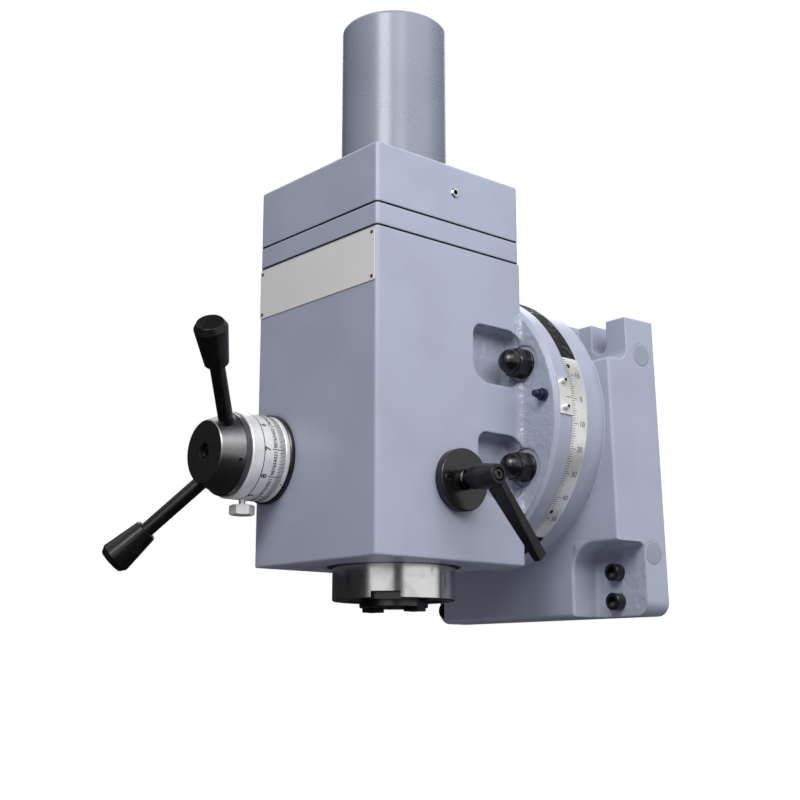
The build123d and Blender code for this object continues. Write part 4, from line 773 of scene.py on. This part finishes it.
def new_piece(name, shape, finish, body):
    """Turns a bmesh into a piece that rides on a body and takes its finish from a slot."""
    mesh = bpy.data.meshes.new(name)
    shape.to_mesh(mesh)
    shape.free()
    made = bpy.data.objects.new(name, mesh)
    bpy.context.collection.objects.link(made)
    made.data.materials.append(finish)
    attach(made, body)
    print(name, "faces:", len(mesh.polygons))


def upright_edges(shape):
    """Edges that run along Z."""
    return [edge for edge in shape.edges if abs(edge.verts[0].co.z - edge.verts[1].co.z) > MM]


def sealing_bead(name, height):
    """A thin black frame of painted shade in the groove at that height, a bit smaller than the spacer plate.
    """
    low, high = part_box("spacer_plate")
    sunk = Vector((BEAD_SUNK, BEAD_SUNK, 0)) * MM
    centre = (low + high) / 2
    span = high - low - 2 * sunk
    place = Matrix.Translation((centre.x, centre.y, height))
    size = Matrix.Diagonal((span.x, span.y, BEAD_HEIGHT * MM, 1))
    shape = bmesh.new()
    bmesh.ops.create_cube(shape, size=1.0, matrix=place @ size)
    bmesh.ops.bevel(
        shape, geom=upright_edges(shape), offset=HEAD_CORNER * MM, segments=6, profile=0.5,
        affect="EDGES", material=-1,
    )
    ends = [face for face in shape.faces if abs(face.normal.z) > 0.9]
    bmesh.ops.delete(shape, geom=ends, context="FACES_ONLY")
    bmesh.ops.solidify(shape, geom=shape.faces[:], thickness=BEAD_DEPTH * MM)
    bmesh.ops.recalc_face_normals(shape, faces=shape.faces[:])
    new_piece(name, shape, joint_shade_black, "head")


# Near-black finish of the painted-shade frames in the joints.
joint_shade_black = black_finish("joint_shade_black", rgb(0.004, 0.004, 0.0045), 0.62, 0.8, 0.02, 0.15)
sealing_bead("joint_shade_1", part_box("spacer_plate")[0].z)
sealing_bead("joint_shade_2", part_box("top_cover")[0].z)

# %% [markdown]
# ## Graduations
#
# The feed dial and the degree scale are engraved and filled with black. Modelling each line as a
# thin bar on the drum keeps it sharp from any distance. A line or a numeral is first drawn flat,
# with x along the drum's axis, y round the drum and z outwards, and is then bent onto the drum.

# %% Bars and numerals on a drum
INK_PROUD = 0.05
INK_SUNK = 0.05
DIGIT_SHARE = 0.7
WELD_DISTANCE = 0.0005
ink = black_finish("engraving_ink", rgb(0.010, 0.010, 0.011), 0.55, 0.4, 0.004, 0.2)


def bend_onto_drum(verts, centre, radius, start, turn):
    """Bends flat work onto a drum about a Y axis, at a place along it and a turn from +X to +Z."""
    for vert in verts:
        angle = turn + vert.co.y / radius
        reach = radius + vert.co.z
        across = centre[0] + reach * math.cos(angle)
        rise = centre[1] + reach * math.sin(angle)
        vert.co = Vector((across, start + vert.co.x, rise))


def add_bar(shape, length, width, **place):
    """One engraved line that runs along the axis from its start."""
    flat = Matrix.Translation((length / 2, 0, (INK_PROUD - INK_SUNK) / 2))
    size = Matrix.Diagonal((length, width, INK_PROUD + INK_SUNK, 1))
    made = bmesh.ops.create_cube(shape, size=1.0, matrix=flat @ size)
    bend_onto_drum(made["verts"], **place)


def add_numeral(shape, words, height, bold, upright=False, **place):
    """Numerals whose middle is at the place, read from front to back, or round the drum if upright."""
    curve = bpy.data.curves.new("numeral", "FONT")
    curve.body = words
    curve.size = height / DIGIT_SHARE
    curve.extrude = (INK_PROUD + INK_SUNK) / 2
    curve.offset = height * bold
    curve.resolution_u = 3
    curve.align_x = "CENTER"
    curve.align_y = "CENTER"
    written = bpy.data.objects.new("numeral", curve)
    bpy.context.collection.objects.link(written)
    depsgraph = bpy.context.evaluated_depsgraph_get()
    mesh = bpy.data.meshes.new_from_object(written.evaluated_get(depsgraph))
    before = len(shape.verts)
    shape.from_mesh(mesh)
    shape.verts.ensure_lookup_table()
    if upright:
        bmesh.ops.rotate(
            shape, verts=shape.verts[before:], cent=(0, 0, 0), matrix=Matrix.Rotation(math.pi / 2, 3, "Z")
        )
    bend_onto_drum(shape.verts[before:], **place)
    bpy.data.objects.remove(written)
    bpy.data.curves.remove(curve)
    bpy.data.meshes.remove(mesh)


def finish_ink(name, shape, body):
    """Scales the work from millimetres and makes it a piece."""
    bmesh.ops.remove_doubles(shape, verts=shape.verts[:], dist=WELD_DISTANCE)
    bmesh.ops.scale(shape, vec=(MM, MM, MM), verts=shape.verts[:])
    new_piece(name, shape, ink, body)


print("ready: bars and numerals")

# %% [markdown]
# The dial has two hundred fine lines at its back edge. Every second one has a small numeral, and
# every twentieth has a long line with a large numeral, so one turn is read in ten tens. The numbers
# grow downwards on the side that is seen, because the handle is pulled down to feed.

# %% Feed dial
DIAL_BACK = -345.8
DIAL_RADIUS = 44.0
DIAL_LINES = 200
DIAL_START = -33.0
FIRST_NUMBER = 8
LINES_PER_SMALL = 2
LINES_PER_LARGE = 20
LONG_LINE = (16.0, 0.75)
NUMBERED_LINE = (7.2, 0.60)
FINE_LINE = (5.6, 0.55)
LARGE_DIGIT = (6.2, 21.5)
SMALL_DIGIT = (3.8, 12.4)
EDGE_GAP = 0.6
DIAL_BOLD = 0.03
dial_lines = bmesh.new()
on_dial = {"centre": FEED_CENTRE, "radius": DIAL_RADIUS}
for number in range(DIAL_LINES):
    turn = math.radians(DIAL_START - 360.0 * number / DIAL_LINES)
    tens, units = divmod(number, LINES_PER_LARGE)
    numbered = units % LINES_PER_SMALL == 0
    length, width = LONG_LINE if units == 0 else NUMBERED_LINE if numbered else FINE_LINE
    add_bar(dial_lines, length, width, start=DIAL_BACK - EDGE_GAP - length, turn=turn, **on_dial)
    if numbered:
        height, inset = LARGE_DIGIT if units == 0 else SMALL_DIGIT
        digit = (FIRST_NUMBER + tens) % 10 if units == 0 else units // LINES_PER_SMALL
        add_numeral(
            dial_lines, str(digit), height, DIAL_BOLD, upright=True, start=DIAL_BACK - inset, turn=turn,
            **on_dial,
        )
finish_ink("dial_graduations", dial_lines, "dial")

# %% [markdown]
# The degree scale on the bracket has a line for each degree at its front edge, longer ones at five
# and ten, and a numeral for each ten. A plate on the head carries the zero line against it, and the
# ring behind the dial has a dot that the dial is read against.

# %% Degree scale
DRUM_RADIUS = 148.7
SCALE_FRONT = -120.7
SCALE_ZERO = 5.5
SCALE_DEGREES = range(-59, 18)
LINE_WIDTH = 0.55
TEN_LINE = 8.5
FIVE_LINE = 6.5
DEGREE_LINE = 4.5
SCALE_GAP = 0.4
SCALE_DIGIT = 5.6
SCALE_DIGIT_INSET = 15.0
scale_lines = bmesh.new()
on_drum = {"centre": SWIVEL_CENTRE, "radius": DRUM_RADIUS}
for degree in SCALE_DEGREES:
    length = TEN_LINE if degree % 10 == 0 else FIVE_LINE if degree % 5 == 0 else DEGREE_LINE
    turn = math.radians(SCALE_ZERO + degree)
    add_bar(scale_lines, length, LINE_WIDTH, start=SCALE_FRONT + SCALE_GAP, turn=turn, **on_drum)
    if degree % 10 == 0:
        add_numeral(
            scale_lines, str(abs(degree)), SCALE_DIGIT, bold=0.0, start=SCALE_FRONT + SCALE_DIGIT_INSET,
            turn=turn, **on_drum,
        )
finish_ink("degree_scale_lines", scale_lines, "bracket")

# %% Zero line and dial dot
PLATE_RADIUS = 149.9
ZERO_LINE = (7.0, 0.7)
ZERO_LINE_START = -128.8
DOT_SIZE = 1.3
DOT_TURN = -43.0
RING_MIDDLE = -343.2
zero_line = bmesh.new()
add_bar(
    zero_line, *ZERO_LINE,
    centre=SWIVEL_CENTRE, radius=PLATE_RADIUS, start=ZERO_LINE_START, turn=math.radians(SCALE_ZERO),
)
finish_ink("zero_line", zero_line, "head")
dial_dot = bmesh.new()
add_bar(
    dial_dot, DOT_SIZE, DOT_SIZE, start=RING_MIDDLE - DOT_SIZE / 2, turn=math.radians(DOT_TURN), **on_dial
)
finish_ink("dial_dot", dial_dot, "head")
